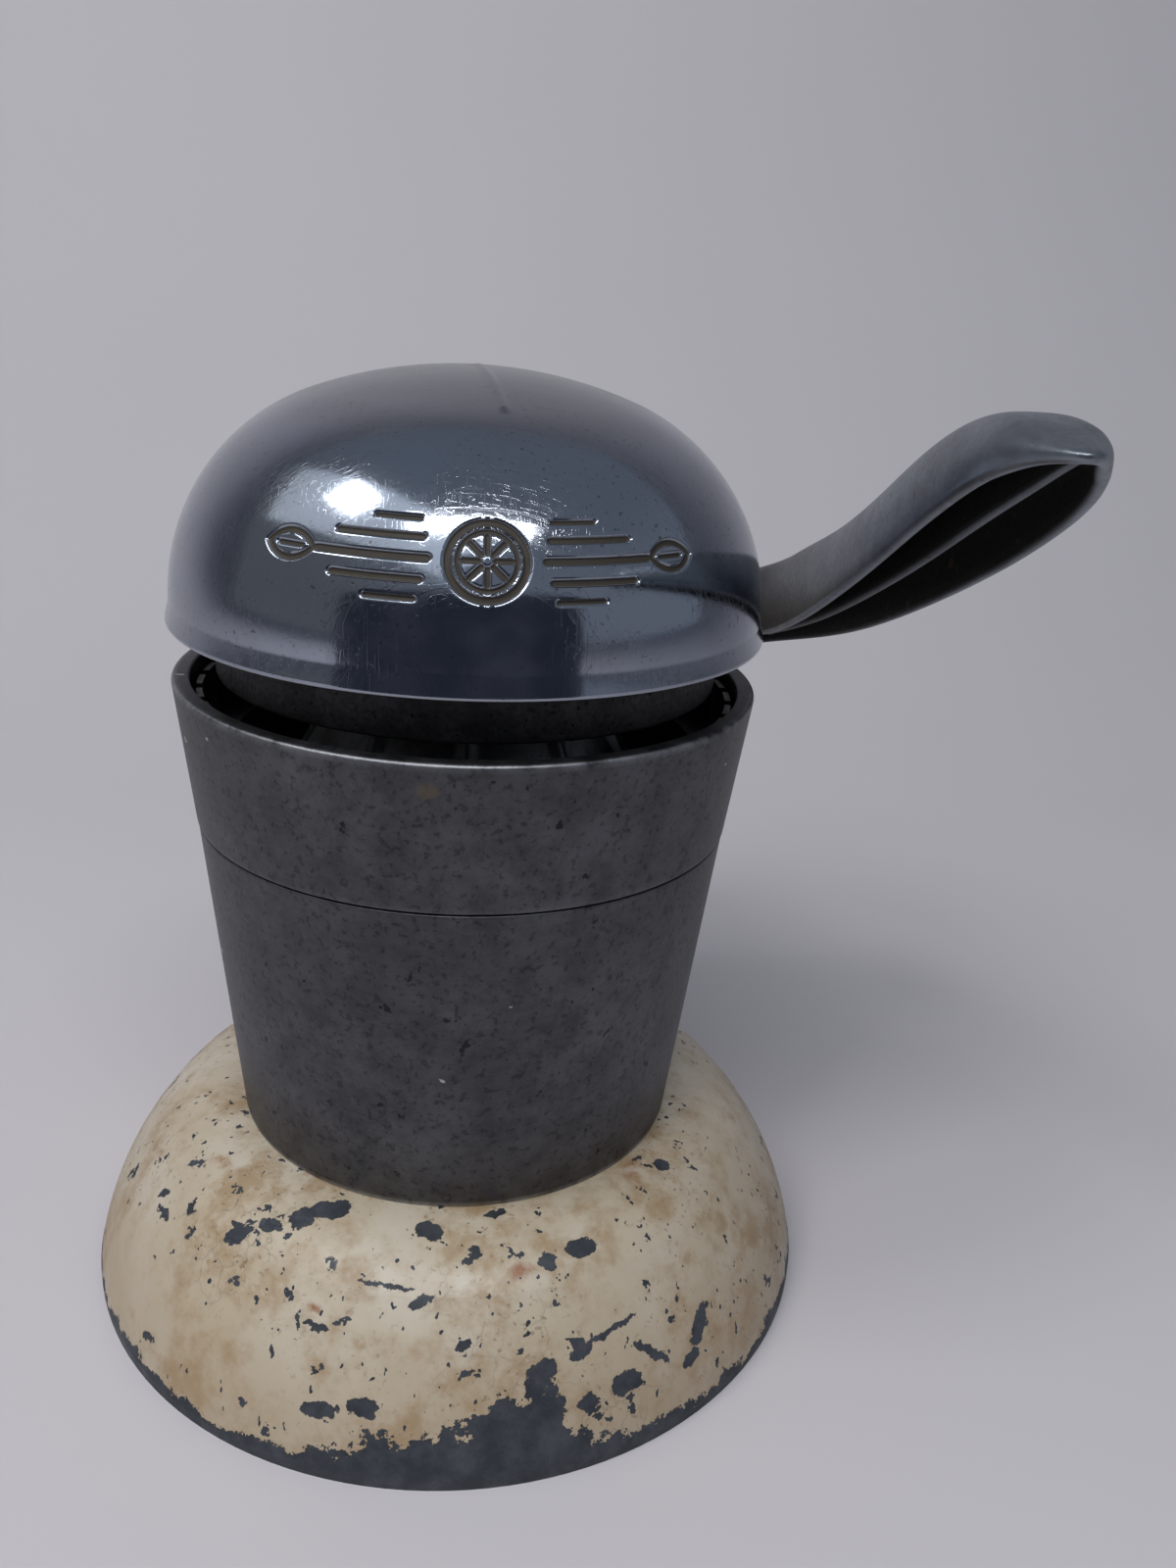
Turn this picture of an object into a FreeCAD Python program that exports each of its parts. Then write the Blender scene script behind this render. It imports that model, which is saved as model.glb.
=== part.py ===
import FreeCAD, Part
import math
import os
import re

import Sketcher
from FreeCAD import Placement, Rotation, Vector

# Lever citrus press: a bell base carries a rear column with a rack and pinion in it. The lever
# turns the pinion, the pinion moves the rack, and the head hinged on the rack squeezes half a
# fruit between its press cup and the ribbed cone that stands in the strainer.
# Frame: origin on the table under the cup's axis, +Z up, +X to the lever's side, -Y to the front.

os.makedirs("parts", exist_ok=True)
doc = FreeCAD.newDocument("citrus_press")

SIZES = {
    # base casting
    "base_radius": 80, "base_wall": 3.2, "rim_height": 2, "flank_curve": 60, "shoulder_curve": 22,
    "shoulder_radius": 65, "shoulder_height": 31, "deck_radius": 47.5, "deck_height": 37.6,
    "deck_thickness": 4, "seat_radius": 42.5, "seat_height": 1.8,
    "pad_half_width": 18, "pad_front": 57, "pad_back": 79.5, "pad_bottom": 3, "pad_top": 35.2,
    "pad_rounding": 5,
    "foot_screw_radius": 2.4, "foot_screw_apart": 7, "foot_screw_back": 70,
    "foot_screw_head": 5, "foot_screw_head_height": 4, "foot_screw_bite": 12, "counterbore_top": 21,
    # juice cup
    "cup_top_radius": 54.7, "seam_height": 105.3, "cup_wall": 2.7, "cup_floor": 42.9,
    "cup_foot_inner": 43, "cup_hollow": 40.4, "seam_gap": 0.1,
    # collar above the cup
    "collar_radius": 58.5, "collar_top": 134.2, "collar_mouth": 55, "ledge_height": 119,
    "ledge_radius": 54.5, "spigot_inner": 49.2, "spigot_outer": 51, "spigot_depth": 6,
    # strainer basket
    "basket_wall_radius": 48.6, "basket_rim_radius": 53.9, "sheet_thickness": 1.2,
    "basket_floor": 103.6, "basket_top": 131.6, "slot_count": 36, "rim_slot_width": 3.1,
    "rim_slot_bottom": 122, "floor_slot_width": 2.2, "floor_slot_start": 42.6,
    "floor_slot_end": 46.6,
    # squeezing cone
    "cone_foot": 41.5, "cone_base": 104.9, "cone_spring": 106.6, "cone_radius": 40,
    "cone_top": 151, "cone_lean": 30, "cone_wall": 2.8, "ridge_rise": 2.2, "ridge_sink": 1.4,
    "ridge_thickness": 2.4, "ridge_bottom": 112, "ridge_tip": 6, "ridge_count": 10,
    "cone_post": 5.5, "cone_screw_radius": 2.5, "cone_screw_head": 5.5,
    "cone_screw_head_height": 2.9, "cone_screw_reach": 14,
    # head
    "dome_radius": 58.2, "dome_lip_radius": 59.2, "dome_lip": 145, "dome_spring": 149,
    "dome_top": 193.9, "dome_shoulder": 42, "dome_wall": 3, "boss_radius": 7,
    "ear_inner": 7.6, "ear_thickness": 5, "ear_radius": 7, "ear_root_low": 54, "ear_root_high": 51,
    "hinge_back": 67.25, "hinge_height": 160, "hinge_pin_radius": 3, "hinge_pin_head": 4.6,
    "hinge_pin_end": 15, "hinge_washer_radius": 6.4, "hinge_washer_thickness": 0.4,
    # press cup inside the head
    "press_radius": 50, "press_mouth": 134.9, "press_spring": 150, "press_top": 172.4,
    "press_wall": 3.6, "press_crown": 3.8, "press_screw_radius": 2.55, "press_screw_head": 6,
    "press_screw_head_height": 3, "press_screw_reach": 14,
    # rack and its guide
    "rack_half_width": 7, "rack_front": 63.5, "rack_back": 71, "rack_bottom": 69.5,
    "rack_neck": 151, "rack_clearance": 0.15, "first_gap_below": 5, "gap_count": 10,
    "stop_slot_depth": 2.6, "stop_slot_low": 83, "stop_slot_high": 113, "stop_height": 98,
    "stop_back": 65.45, "stop_slot_half": 1.6,
    # gear pair
    "gear_module": 1.6, "pinion_teeth": 12, "pressure_angle": 25, "tooth_play": 0.24,
    "pinion_face": 10, "pinion_left": 6.5, "pinion_hub_radius": 7, "pinion_hub_length": 4.7,
    # column
    "column_front": 60.6, "column_back": 78, "column_half_width": 12.5, "column_foot_half": 17,
    "column_foot_height": 5, "case_back": 93, "case_half_width": 16.5, "case_top": 140.5,
    "case_low_front": 104, "case_low_back": 114, "guide_bottom": 58, "gear_room_half": 8.6,
    "gear_room_low": 114.8, "gear_room_high": 138.5, "arm_tube_radius": 9.5, "arm_tube_end": 54,
    "bush_radius": 6.5, "bush_length": 12, "bush_flange": 8.2, "bush_flange_length": 1.5,
    "fit_gap": 0.05,
    # lever shaft
    "shaft_height": 127, "shaft_radius": 4, "shaft_left": 22.5, "shaft_right": 68.5,
    "clip_groove": 19.7, "clip_width": 0.9, "clip_inner": 3.2, "clip_outer": 6.8,
    "thrust_washer": 1.2, "thrust_radius": 7.5,
    # drag unit that holds the head up
    "drag_height": 87, "drag_radius": 3, "drag_shoe_length": 3, "drag_screw_length": 3.5,
    "drag_wire": 0.4,
    # rear cover
    "cover_thickness": 2.4, "cover_screw_radius": 1.45, "cover_screw_head": 2.9,
    "cover_screw_across": 12.6, "cover_screw_low": 117.6, "cover_screw_high": 136.6,
    "cover_screw_bite": 8,
    # lever
    "hub_radius": 11, "hub_left": 56.2, "hub_right": 68.8, "lever_inner": 70.5, "lever_wall": 2.4,
    "lever_tip": 92, "lever_roof": 2.8, "lever_root": 50, "lever_root_low": 131,
    "lever_crest": 197, "shaft_line_back": 82, "lever_start": 50, "lever_reach": 60,
    "lever_rib": 2.2, "rib_recess": 1.6, "lever_pin_radius": 1.5,
}

sheet = doc.addObject("Spreadsheet::Sheet", "Sizes")
for row, (name, number) in enumerate(SIZES.items(), start=1):
    sheet.set(f"A{row}", name)
    sheet.set(f"B{row}", str(number))
    sheet.setAlias(f"B{row}", name)
doc.recompute()

# Formulas used in more than one place, in the sheet's names.
PITCH_RADIUS = "gear_module * pinion_teeth / 2"
PITCH_PLANE = "(rack_back - gear_module)"
SHAFT_BACK = f"({PITCH_PLANE} + {PITCH_RADIUS})"
DOME_RISE = "(dome_top - dome_spring)"
DOME_INSET = "(dome_radius - dome_shoulder)"
DOME_CROWN = (f"(({DOME_INSET}^2 + {DOME_RISE}^2 - dome_shoulder^2)"
              f" / (2 * ({DOME_RISE} - dome_shoulder)))")
CONE_CROWN = ("((cone_radius * cos(cone_lean) - (cone_top - cone_spring) * sin(cone_lean))"
              " / (1 - sin(cone_lean)))")

NODES = {}


def formula(words):
    """The same formula with each of the sheet's names written as a reference to the sheet."""
    return re.sub(r"[a-z_]+", lambda found: "Sizes." + found[0] if found[0] in SIZES else found[0],
                  str(words))


def size(words):
    """The number that a formula gives."""
    return float(sheet.evalExpression(formula(words)))


def keep(label, thing):
    """Names a finished sub-part and lists it for the export."""
    thing.Label = label
    NODES[label] = thing
    return thing


# ---------------------------------------------------------------- sketches

def new_body(name):
    return doc.addObject("PartDesign::Body", name)


def of_origin(body, role):
    return next(feature for feature in body.Origin.OriginFeatures if feature.Role == role)


def sketch_on(body, plane, offset="0"):
    """A sketch on one of the body's own planes, moved along the plane's normal."""
    sketch = body.newObject("Sketcher::SketchObject", body.Name + "_sketch")
    sketch.AttachmentSupport = [(of_origin(body, plane), "")]
    sketch.MapMode = "FlatFace"
    sketch.setExpression("AttachmentOffset.Base.z", formula(offset))
    return sketch


def bind(sketch, constraint, words):
    number = sketch.addConstraint(constraint)
    sketch.setExpression(f"Constraints[{number}]", formula(words))


def pin_point(sketch, edge, end, across, up):
    bind(sketch, Sketcher.Constraint("DistanceX", edge, end, size(across)), across)
    bind(sketch, Sketcher.Constraint("DistanceY", edge, end, size(up)), up)


def outline(sketch, corners):
    """A closed outline. A corner is (across, up), or (across, up, curve) where the edge to the
    next corner is an arc: a curve of "+radius" turns left on its way and "-radius" turns right."""
    ends = []
    for corner, following in zip(corners, corners[1:] + corners[:1]):
        start = Vector(size(corner[0]), size(corner[1]), 0)
        finish = Vector(size(following[0]), size(following[1]), 0)
        if len(corner) == 2:
            edge = sketch.addGeometry(Part.LineSegment(start, finish), False)
            ends.append((edge, 1, 2))
            continue
        left = corner[2][0] == "+"
        radius = size(corner[2][1:])
        chord = finish - start
        inward = Vector(-chord.y, chord.x, 0).normalize() * (1 if left else -1)
        depth = math.sqrt(radius ** 2 - chord.Length ** 2 / 4)
        centre = start + chord * 0.5 + inward * depth
        first, last = (start, finish) if left else (finish, start)
        angles = [math.atan2(end.y - centre.y, end.x - centre.x) for end in (first, last)]
        circle = Part.Circle(centre, Vector(0, 0, 1), radius)
        edge = sketch.addGeometry(Part.ArcOfCircle(circle, *angles), False)
        ends.append((edge, 1, 2) if left else (edge, 2, 1))
        bind(sketch, Sketcher.Constraint("Radius", edge, radius), corner[2][1:])
    for corner, (edge, start, _), (before, _, finish) in zip(corners, ends, ends[-1:] + ends[:-1]):
        sketch.addConstraint(Sketcher.Constraint("Coincident", before, finish, edge, start))
        pin_point(sketch, edge, start, corner[0], corner[1])
    return sketch


def box_outline(sketch, left, right, low, high):
    return outline(sketch, [(left, low), (right, low), (right, high), (left, high)])


def circles(sketch, places, radius):
    for across, up in places:
        centre = Vector(size(across), size(up), 0)
        edge = sketch.addGeometry(Part.Circle(centre, Vector(0, 0, 1), size(radius)), False)
        bind(sketch, Sketcher.Constraint("Radius", edge, size(radius)), radius)
        pin_point(sketch, edge, 3, across, up)
    return sketch


# ---------------------------------------------------------------- features

def volume_after(body):
    doc.recompute()
    return body.Tip.Shape.Volume


def turn(body, corners):
    """A solid of revolution about the body's Z axis from an outline of radius and height."""
    sketch = outline(sketch_on(body, "XZ_Plane"), corners)
    feature = body.newObject("PartDesign::Revolution", body.Name + "_turned")
    feature.Profile = sketch
    feature.ReferenceAxis = (sketch, ["V_Axis"])
    feature.Angle = 360
    doc.recompute()
    return feature


def pad(body, sketch, length, middle=False):
    feature = body.newObject("PartDesign::Pad", body.Name + "_pad")
    feature.Profile = sketch
    feature.Midplane = middle
    feature.setExpression("Length", formula(length))
    doc.recompute()
    return feature


def pocket(body, sketch, depth, middle=False, flip=False):
    """Cuts the sketch away, and checks that it took something off the solid."""
    before = volume_after(body)
    feature = body.newObject("PartDesign::Pocket", body.Name + "_pocket")
    feature.Profile = sketch
    feature.Midplane = middle
    feature.Reversed = flip
    feature.setExpression("Length", formula(depth))
    if volume_after(body) >= before:
        raise ValueError(f"{body.Name}: a pocket cuts nothing")
    return feature


def around(body, feature, count):
    """Repeats a feature evenly around the body's Z axis."""
    pattern = body.newObject("PartDesign::PolarPattern", body.Name + "_pattern")
    pattern.Originals = [feature]
    pattern.Axis = (of_origin(body, "Z_Axis"), [""])
    pattern.Angle = 360
    pattern.setExpression("Occurrences", formula(count))
    body.Tip = pattern
    doc.recompute()
    return pattern


def round_edges(body, chosen, radius):
    """Rounds those edges of the solid so far that the test picks."""
    base = body.Tip
    names = [f"Edge{number}" for number, edge in enumerate(base.Shape.Edges, start=1)
             if chosen(edge)]
    fillet = body.newObject("PartDesign::Fillet", body.Name + "_fillet")
    fillet.Base = (base, names)
    fillet.setExpression("Radius", formula(radius))
    doc.recompute()
    return fillet


def upright(edge):
    """True for a straight edge along Z."""
    if edge.Curve.TypeId != "Part::GeomLine":
        return False
    return abs(abs(edge.Curve.Direction.z) - 1) < 1e-6


def place(thing, across="0", back="0", up="0", lie=None):
    """Puts a sub-part made about its own Z axis in its place; lie names the axis it points along."""
    turns = {"X": Rotation(Vector(0, 1, 0), 90), "-X": Rotation(Vector(0, 1, 0), -90),
             "Y": Rotation(Vector(1, 0, 0), -90), "-Y": Rotation(Vector(1, 0, 0), 90)}
    thing.Placement = Placement(Vector(0, 0, 0), turns.get(lie, Rotation()))
    for axis, words in (("x", across), ("y", back), ("z", up)):
        thing.setExpression(f"Placement.Base.{axis}", formula(words))
    doc.recompute()


def ring_part(label, inner, outer, length, **where):
    """A plain bush, washer or tube."""
    body = new_body(label)
    turn(body, [(inner, "0"), (outer, "0"), (outer, length), (inner, length)])
    place(body, **where)
    return keep(label, body)


def screw(name, radius, reach, head_radius, head_height, slot=True):
    """A slotted screw about its own Z axis: the head below zero, the shank above it."""
    head = doc.addObject("Part::Cylinder", name + "_head")
    head.setExpression("Radius", formula(head_radius))
    head.setExpression("Height", formula(head_height))
    head.setExpression("Placement.Base.z", formula(f"-({head_height})"))
    shank = doc.addObject("Part::Cylinder", name + "_shank")
    shank.setExpression("Radius", formula(radius))
    shank.setExpression("Height", formula(reach))
    whole = doc.addObject("Part::Fuse", name + "_whole")
    whole.Base = head
    whole.Tool = shank
    if not slot:
        return whole
    blade = doc.addObject("Part::Box", name + "_slot")
    blade.setExpression("Length", formula(f"2.2 * ({head_radius})"))
    blade.setExpression("Width", formula(f"0.22 * ({head_radius})"))
    blade.setExpression("Height", formula(f"0.45 * ({head_height})"))
    blade.setExpression("Placement.Base.x", formula(f"-1.1 * ({head_radius})"))
    blade.setExpression("Placement.Base.y", formula(f"-0.11 * ({head_radius})"))
    blade.setExpression("Placement.Base.z", formula(f"-1.001 * ({head_height})"))
    cut = doc.addObject("Part::Cut", name + "_cut")
    cut.Base = whole
    cut.Tool = blade
    return cut


def group(label, members):
    """Identical fasteners kept together as separate solids of one node."""
    compound = doc.addObject("Part::Compound", label)
    compound.Links = members
    doc.recompute()
    return keep(label, compound)


# ---------------------------------------------------------------- base, cup and collar

def build_base():
    body = new_body("base_bell")
    slope = math.radians(43)
    inset = f"base_wall * {math.cos(slope):.4f}"
    drop = f"base_wall * {math.sin(slope):.4f}"
    turn(body, [
        ("0", "deck_height - deck_thickness"),
        ("deck_radius", "deck_height - deck_thickness", "-shoulder_curve - base_wall"),
        (f"shoulder_radius - {inset}", f"shoulder_height - {drop}", "-flank_curve - base_wall"),
        ("base_radius - base_wall", "rim_height"),
        ("base_radius - base_wall", "0"),
        ("base_radius", "0"),
        ("base_radius", "rim_height", "+flank_curve"),
        ("shoulder_radius", "shoulder_height", "+shoulder_curve"),
        ("deck_radius", "deck_height"),
        ("seat_radius", "deck_height"),
        ("seat_radius", "deck_height + seat_height"),
        ("0", "deck_height + seat_height"),
    ])
    rear_pad = outline(sketch_on(body, "XY_Plane", "pad_bottom"), [
        ("-pad_half_width", "pad_front"), ("pad_half_width", "pad_front"),
        ("pad_half_width", "pad_back - pad_rounding", "+pad_rounding * 1.0001"),
        ("pad_half_width - pad_rounding", "pad_back"),
        ("-pad_half_width + pad_rounding", "pad_back", "+pad_rounding * 1.0001"),
        ("-pad_half_width", "pad_back - pad_rounding"),
    ])
    pad(body, rear_pad, "pad_top - pad_bottom")
    spots = [("-foot_screw_apart", "foot_screw_back"), ("foot_screw_apart", "foot_screw_back")]
    bores = circles(sketch_on(body, "XY_Plane", "pad_top"), spots, "foot_screw_radius + 0.3")
    pocket(body, bores, "pad_top - pad_bottom")
    sinks = circles(sketch_on(body, "XY_Plane", "counterbore_top"), spots, "foot_screw_head + 1")
    pocket(body, sinks, "counterbore_top - pad_bottom")
    keep("base_bell", body)


def build_column_screws():
    members = []
    for side in (-1, 1):
        member = screw(f"column_screw_{side + 2}", "foot_screw_radius",
                       "pad_top - counterbore_top + foot_screw_bite",
                       "foot_screw_head", "foot_screw_head_height")
        place(member, f"{side} * foot_screw_apart", "foot_screw_back", "counterbore_top")
        members.append(member)
    group("column_screws", members)


def build_cup():
    body = new_body("juice_cup")
    turn(body, [
        ("0", "cup_hollow"),
        ("cup_foot_inner", "cup_hollow"),
        ("cup_foot_inner + 0.6", "deck_height"),
        ("deck_radius", "deck_height"),
        ("cup_top_radius", "seam_height - seam_gap"),
        ("cup_top_radius - cup_wall", "seam_height - seam_gap"),
        ("deck_radius - cup_wall + 0.4", "cup_floor + 4", "-4"),
        ("deck_radius - cup_wall - 3.6", "cup_floor"),
        ("0", "cup_floor"),
    ])
    keep("juice_cup", body)


def build_collar():
    body = new_body("strainer_ring")
    turn(body, [
        ("spigot_inner", "seam_height - spigot_depth"),
        ("spigot_outer", "seam_height - spigot_depth"),
        ("spigot_outer + 0.6", "seam_height"),
        ("cup_top_radius + 0.2", "seam_height"),
        ("collar_radius", "collar_top"),
        ("collar_mouth", "collar_top"),
        ("ledge_radius", "ledge_height"),
        ("spigot_inner", "ledge_height"),
    ])
    keep("strainer_ring", body)


# ---------------------------------------------------------------- strainer and cone

def build_basket():
    body = new_body("strainer_basket")
    ledge = "ledge_height + 0.1"
    turn(body, [
        ("cone_screw_radius + 0.6", "basket_floor"),
        ("basket_wall_radius", "basket_floor"),
        ("basket_wall_radius", ledge),
        ("basket_rim_radius", ledge),
        ("basket_rim_radius", "basket_top"),
        ("basket_rim_radius - sheet_thickness", "basket_top"),
        ("basket_rim_radius - sheet_thickness", f"{ledge} + sheet_thickness"),
        ("basket_wall_radius - sheet_thickness", f"{ledge} + sheet_thickness"),
        ("basket_wall_radius - sheet_thickness", "basket_floor + sheet_thickness"),
        ("cone_screw_radius + 0.6", "basket_floor + sheet_thickness"),
    ])
    notch = box_outline(sketch_on(body, "XY_Plane", "basket_top"),
                        "basket_wall_radius", "basket_rim_radius + 1",
                        "-rim_slot_width / 2", "rim_slot_width / 2")
    around(body, pocket(body, notch, "basket_top - rim_slot_bottom"), "slot_count")
    drain = box_outline(sketch_on(body, "XY_Plane", "basket_floor + 2 * sheet_thickness"),
                        "floor_slot_start", "floor_slot_end",
                        "-floor_slot_width / 2", "floor_slot_width / 2")
    around(body, pocket(body, drain, "3 * sheet_thickness"), "slot_count")
    keep("strainer_basket", body)


def cone_turn(offset):
    """Where the crown meets the straight side, offset outwards from the cone's own surface."""
    reach = f"({CONE_CROWN} + {offset})"
    return (f"{reach} * cos(cone_lean)",
            f"cone_top - {CONE_CROWN} + {reach} * sin(cone_lean)")


def cone_side(offset, height):
    """The straight side's distance from the axis at a height, offset outwards."""
    return (f"cone_radius + {offset} / cos(cone_lean)"
            f" - ({height} - cone_spring) * tan(cone_lean)")


def build_cone():
    body = new_body("squeezing_cone")
    inner = cone_side("(-cone_wall)", "cone_spring")
    turn(body, [
        ("0", "cone_top - cone_wall", f"-({CONE_CROWN} - cone_wall)"),
        cone_turn("(-cone_wall)"),
        (inner, "cone_spring"),
        (inner, "cone_base"),
        ("cone_foot", "cone_base"),
        ("cone_foot", "cone_spring"),
        ("cone_radius", "cone_spring"),
        (*cone_turn("0"), f"+{CONE_CROWN}"),
        ("0", "cone_top"),
    ])
    outer_crown, inner_crown = f"({CONE_CROWN} + ridge_rise)", f"({CONE_CROWN} - ridge_sink)"
    ridge = outline(sketch_on(body, "XZ_Plane"), [
        (cone_side("(-ridge_sink)", "ridge_bottom"), "ridge_bottom"),
        (cone_side("ridge_rise", "ridge_bottom"), "ridge_bottom"),
        (*cone_turn("ridge_rise"), f"+{outer_crown}"),
        ("ridge_tip", f"cone_top - {CONE_CROWN} + sqrt({outer_crown}^2 - ridge_tip^2)"),
        ("ridge_tip", f"cone_top - {CONE_CROWN} + sqrt({inner_crown}^2 - ridge_tip^2)",
         f"-{inner_crown}"),
        cone_turn("(-ridge_sink)"),
    ])
    around(body, pad(body, ridge, "ridge_thickness", middle=True), "ridge_count")
    post = circles(sketch_on(body, "XY_Plane", "cone_base"), [("0", "0")], "cone_post")
    pad(body, post, "cone_top - cone_base - cone_wall / 2")
    thread = circles(sketch_on(body, "XY_Plane", "cone_base + cone_screw_reach + 1"),
                     [("0", "0")], "cone_screw_radius")
    pocket(body, thread, "cone_screw_reach + 2")
    keep("squeezing_cone", body)


def build_cone_screw():
    member = screw("cone_screw_body", "cone_screw_radius - fit_gap", "cone_screw_reach",
                   "cone_screw_head", "cone_screw_head_height")
    place(member, up="basket_floor - 0.05")
    keep("cone_screw", member)


# ---------------------------------------------------------------- head

def build_dome():
    body = new_body("head_dome")
    reach = f"({DOME_CROWN} - dome_shoulder)"
    lean_across = f"{DOME_INSET} / {reach}"
    lean_up = f"(dome_spring - dome_top + {DOME_CROWN}) / {reach}"
    outer_turn = (f"{DOME_CROWN} * {lean_across}", f"dome_top - {DOME_CROWN} * (1 - {lean_up})")
    inner_crown = f"({DOME_CROWN} - dome_wall)"
    inner_turn = (f"{inner_crown} * {lean_across}",
                  f"dome_top - {DOME_CROWN} + {inner_crown} * {lean_up}")
    turn(body, [
        ("0", "dome_top - dome_wall", f"-{inner_crown}"),
        (*inner_turn, "-dome_shoulder - dome_wall"),
        ("dome_radius - dome_wall", "dome_spring"),
        ("dome_lip_radius - dome_wall", "dome_lip"),
        ("dome_lip_radius", "dome_lip"),
        ("dome_radius", "dome_spring", "+dome_shoulder"),
        (*outer_turn, f"+{DOME_CROWN}"),
        ("0", "dome_top"),
    ])
    boss = circles(sketch_on(body, "XY_Plane", "press_top + 0.1"), [("0", "0")], "boss_radius")
    pad(body, boss, "dome_top - press_top - dome_wall / 2")
    for start in ("ear_inner", "-ear_inner - ear_thickness"):
        ear = outline(sketch_on(body, "YZ_Plane", start), [
            ("ear_root_low", "hinge_height - ear_radius"),
            ("hinge_back", "hinge_height - ear_radius", "+ear_radius * 1.0001"),
            ("hinge_back", "hinge_height + ear_radius"),
            ("ear_root_high", "hinge_height + ear_radius"),
        ])
        pad(body, ear, "ear_thickness")
    eye = circles(sketch_on(body, "YZ_Plane"), [("hinge_back", "hinge_height")],
                  "hinge_pin_radius + 0.02")
    pocket(body, eye, "4 * ear_inner", middle=True)
    thread = circles(sketch_on(body, "XY_Plane", "press_top + press_screw_reach"),
                     [("0", "0")], "press_screw_radius + fit_gap")
    pocket(body, thread, "press_screw_reach + 1")
    keep("head_dome", body)


def build_press_cup():
    body = new_body("press_cup")
    rise = "(press_top - press_spring)"
    inner = "(press_radius - press_wall)"
    inner_rise = f"({rise} - press_crown + 2)"
    hole = "press_screw_radius + 0.5"
    outer_curve = f"(press_radius^2 + {rise}^2) / (2 * {rise})"
    inner_curve = f"({inner}^2 + {inner_rise}^2) / (2 * {inner_rise})"
    turn(body, [
        (inner, "press_spring - 2", f"+{inner_curve}"),
        ("0", "press_top - press_crown"),
        ("0", "press_top", f"-{outer_curve}"),
        ("press_radius", "press_spring"),
        ("press_radius", "press_mouth"),
        (f"{inner} + 1", "press_mouth"),
        (inner, "press_mouth + 1.5"),
    ])
    bore = circles(sketch_on(body, "XY_Plane", "press_top"), [("0", "0")], hole)
    pocket(body, bore, "2 * press_crown")
    keep("press_cup", body)


def build_press_screw():
    member = screw("press_screw_body", "press_screw_radius", "press_screw_reach",
                   "press_screw_head", "press_screw_head_height")
    place(member, up="press_top - press_crown - 0.4")
    keep("press_screw", member)


def build_hinge():
    body = new_body("hinge_pin")
    turn(body, [
        ("0", "-hinge_pin_end"), ("hinge_pin_head", "-hinge_pin_end"),
        ("hinge_pin_head", "-hinge_pin_end + 2"), ("hinge_pin_radius", "-hinge_pin_end + 2"),
        ("hinge_pin_radius", "hinge_pin_end - 1"), ("hinge_pin_radius - 1", "hinge_pin_end"),
        ("0", "hinge_pin_end"),
    ])
    place(body, back="hinge_back", up="hinge_height", lie="X")
    keep("hinge_pin", body)
    for label, start in (("left_hinge_washer", "-rack_half_width - 0.1 - hinge_washer_thickness"),
                         ("right_hinge_washer", "rack_half_width + 0.1")):
        ring_part(label, "hinge_pin_radius + 0.1", "hinge_washer_radius", "hinge_washer_thickness",
                  across=start, back="hinge_back", up="hinge_height", lie="X")


# ---------------------------------------------------------------- rack, pinion and column

def build_rack():
    body = new_body("rack_bar")
    lug = "hinge_back - ear_radius"
    side = outline(sketch_on(body, "YZ_Plane"), [
        ("rack_front", "rack_bottom"), ("rack_back", "rack_bottom"),
        ("rack_back", "rack_neck"), ("hinge_back + ear_radius", "rack_neck + 3"),
        ("hinge_back + ear_radius", "hinge_height", "+ear_radius * 1.0001"),
        (lug, "hinge_height"), (lug, "rack_neck + 3"), ("rack_front", "rack_neck"),
    ])
    pad(body, side, "2 * rack_half_width", middle=True)
    eye = circles(sketch_on(body, "YZ_Plane"), [("hinge_back", "hinge_height")],
                  "hinge_pin_radius + fit_gap")
    pocket(body, eye, "3 * rack_half_width", middle=True)
    slot = box_outline(sketch_on(body, "YZ_Plane", "rack_half_width"),
                       "stop_back - stop_slot_half", "stop_back + stop_slot_half",
                       "stop_slot_low", "stop_slot_high")
    pocket(body, slot, "stop_slot_depth")
    pitch = f"{math.pi:.6f} * gear_module"
    low = f"shaft_height - first_gap_below * {pitch}"
    lean = math.tan(math.radians(size("pressure_angle")))
    half = f"(({pitch}) / 4 + tooth_play / 2)"
    top = f"({half} + 1.2 * gear_module * {lean:.6f})"
    root = f"({half} - 1.25 * gear_module * {lean:.6f})"
    tip_plane, root_plane = f"{PITCH_PLANE} + 1.2 * gear_module", "rack_back - 2.25 * gear_module"
    gap = outline(sketch_on(body, "YZ_Plane"), [
        (root_plane, f"{low} - {root}"), (tip_plane, f"{low} - {top}"),
        (tip_plane, f"{low} + {top}"), (root_plane, f"{low} + {root}"),
    ])
    teeth = body.newObject("PartDesign::LinearPattern", "rack_teeth")
    teeth.Originals = [pocket(body, gap, "3 * rack_half_width", middle=True)]
    teeth.Direction = (of_origin(body, "Z_Axis"), [""])
    teeth.setExpression("Length", formula(f"{pitch} * (gap_count - 1)"))
    teeth.setExpression("Occurrences", formula("gap_count"))
    body.Tip = teeth
    doc.recompute()
    keep("rack_bar", body)


def involute(base, angle, turned):
    """A point of the involute of a circle, unwound by an angle and turned about the centre."""
    across = base * (math.cos(angle) + angle * math.sin(angle))
    up = base * (math.sin(angle) - angle * math.cos(angle))
    return Vector(across * math.cos(turned) - up * math.sin(turned),
                  across * math.sin(turned) + up * math.cos(turned), 0)


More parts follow.
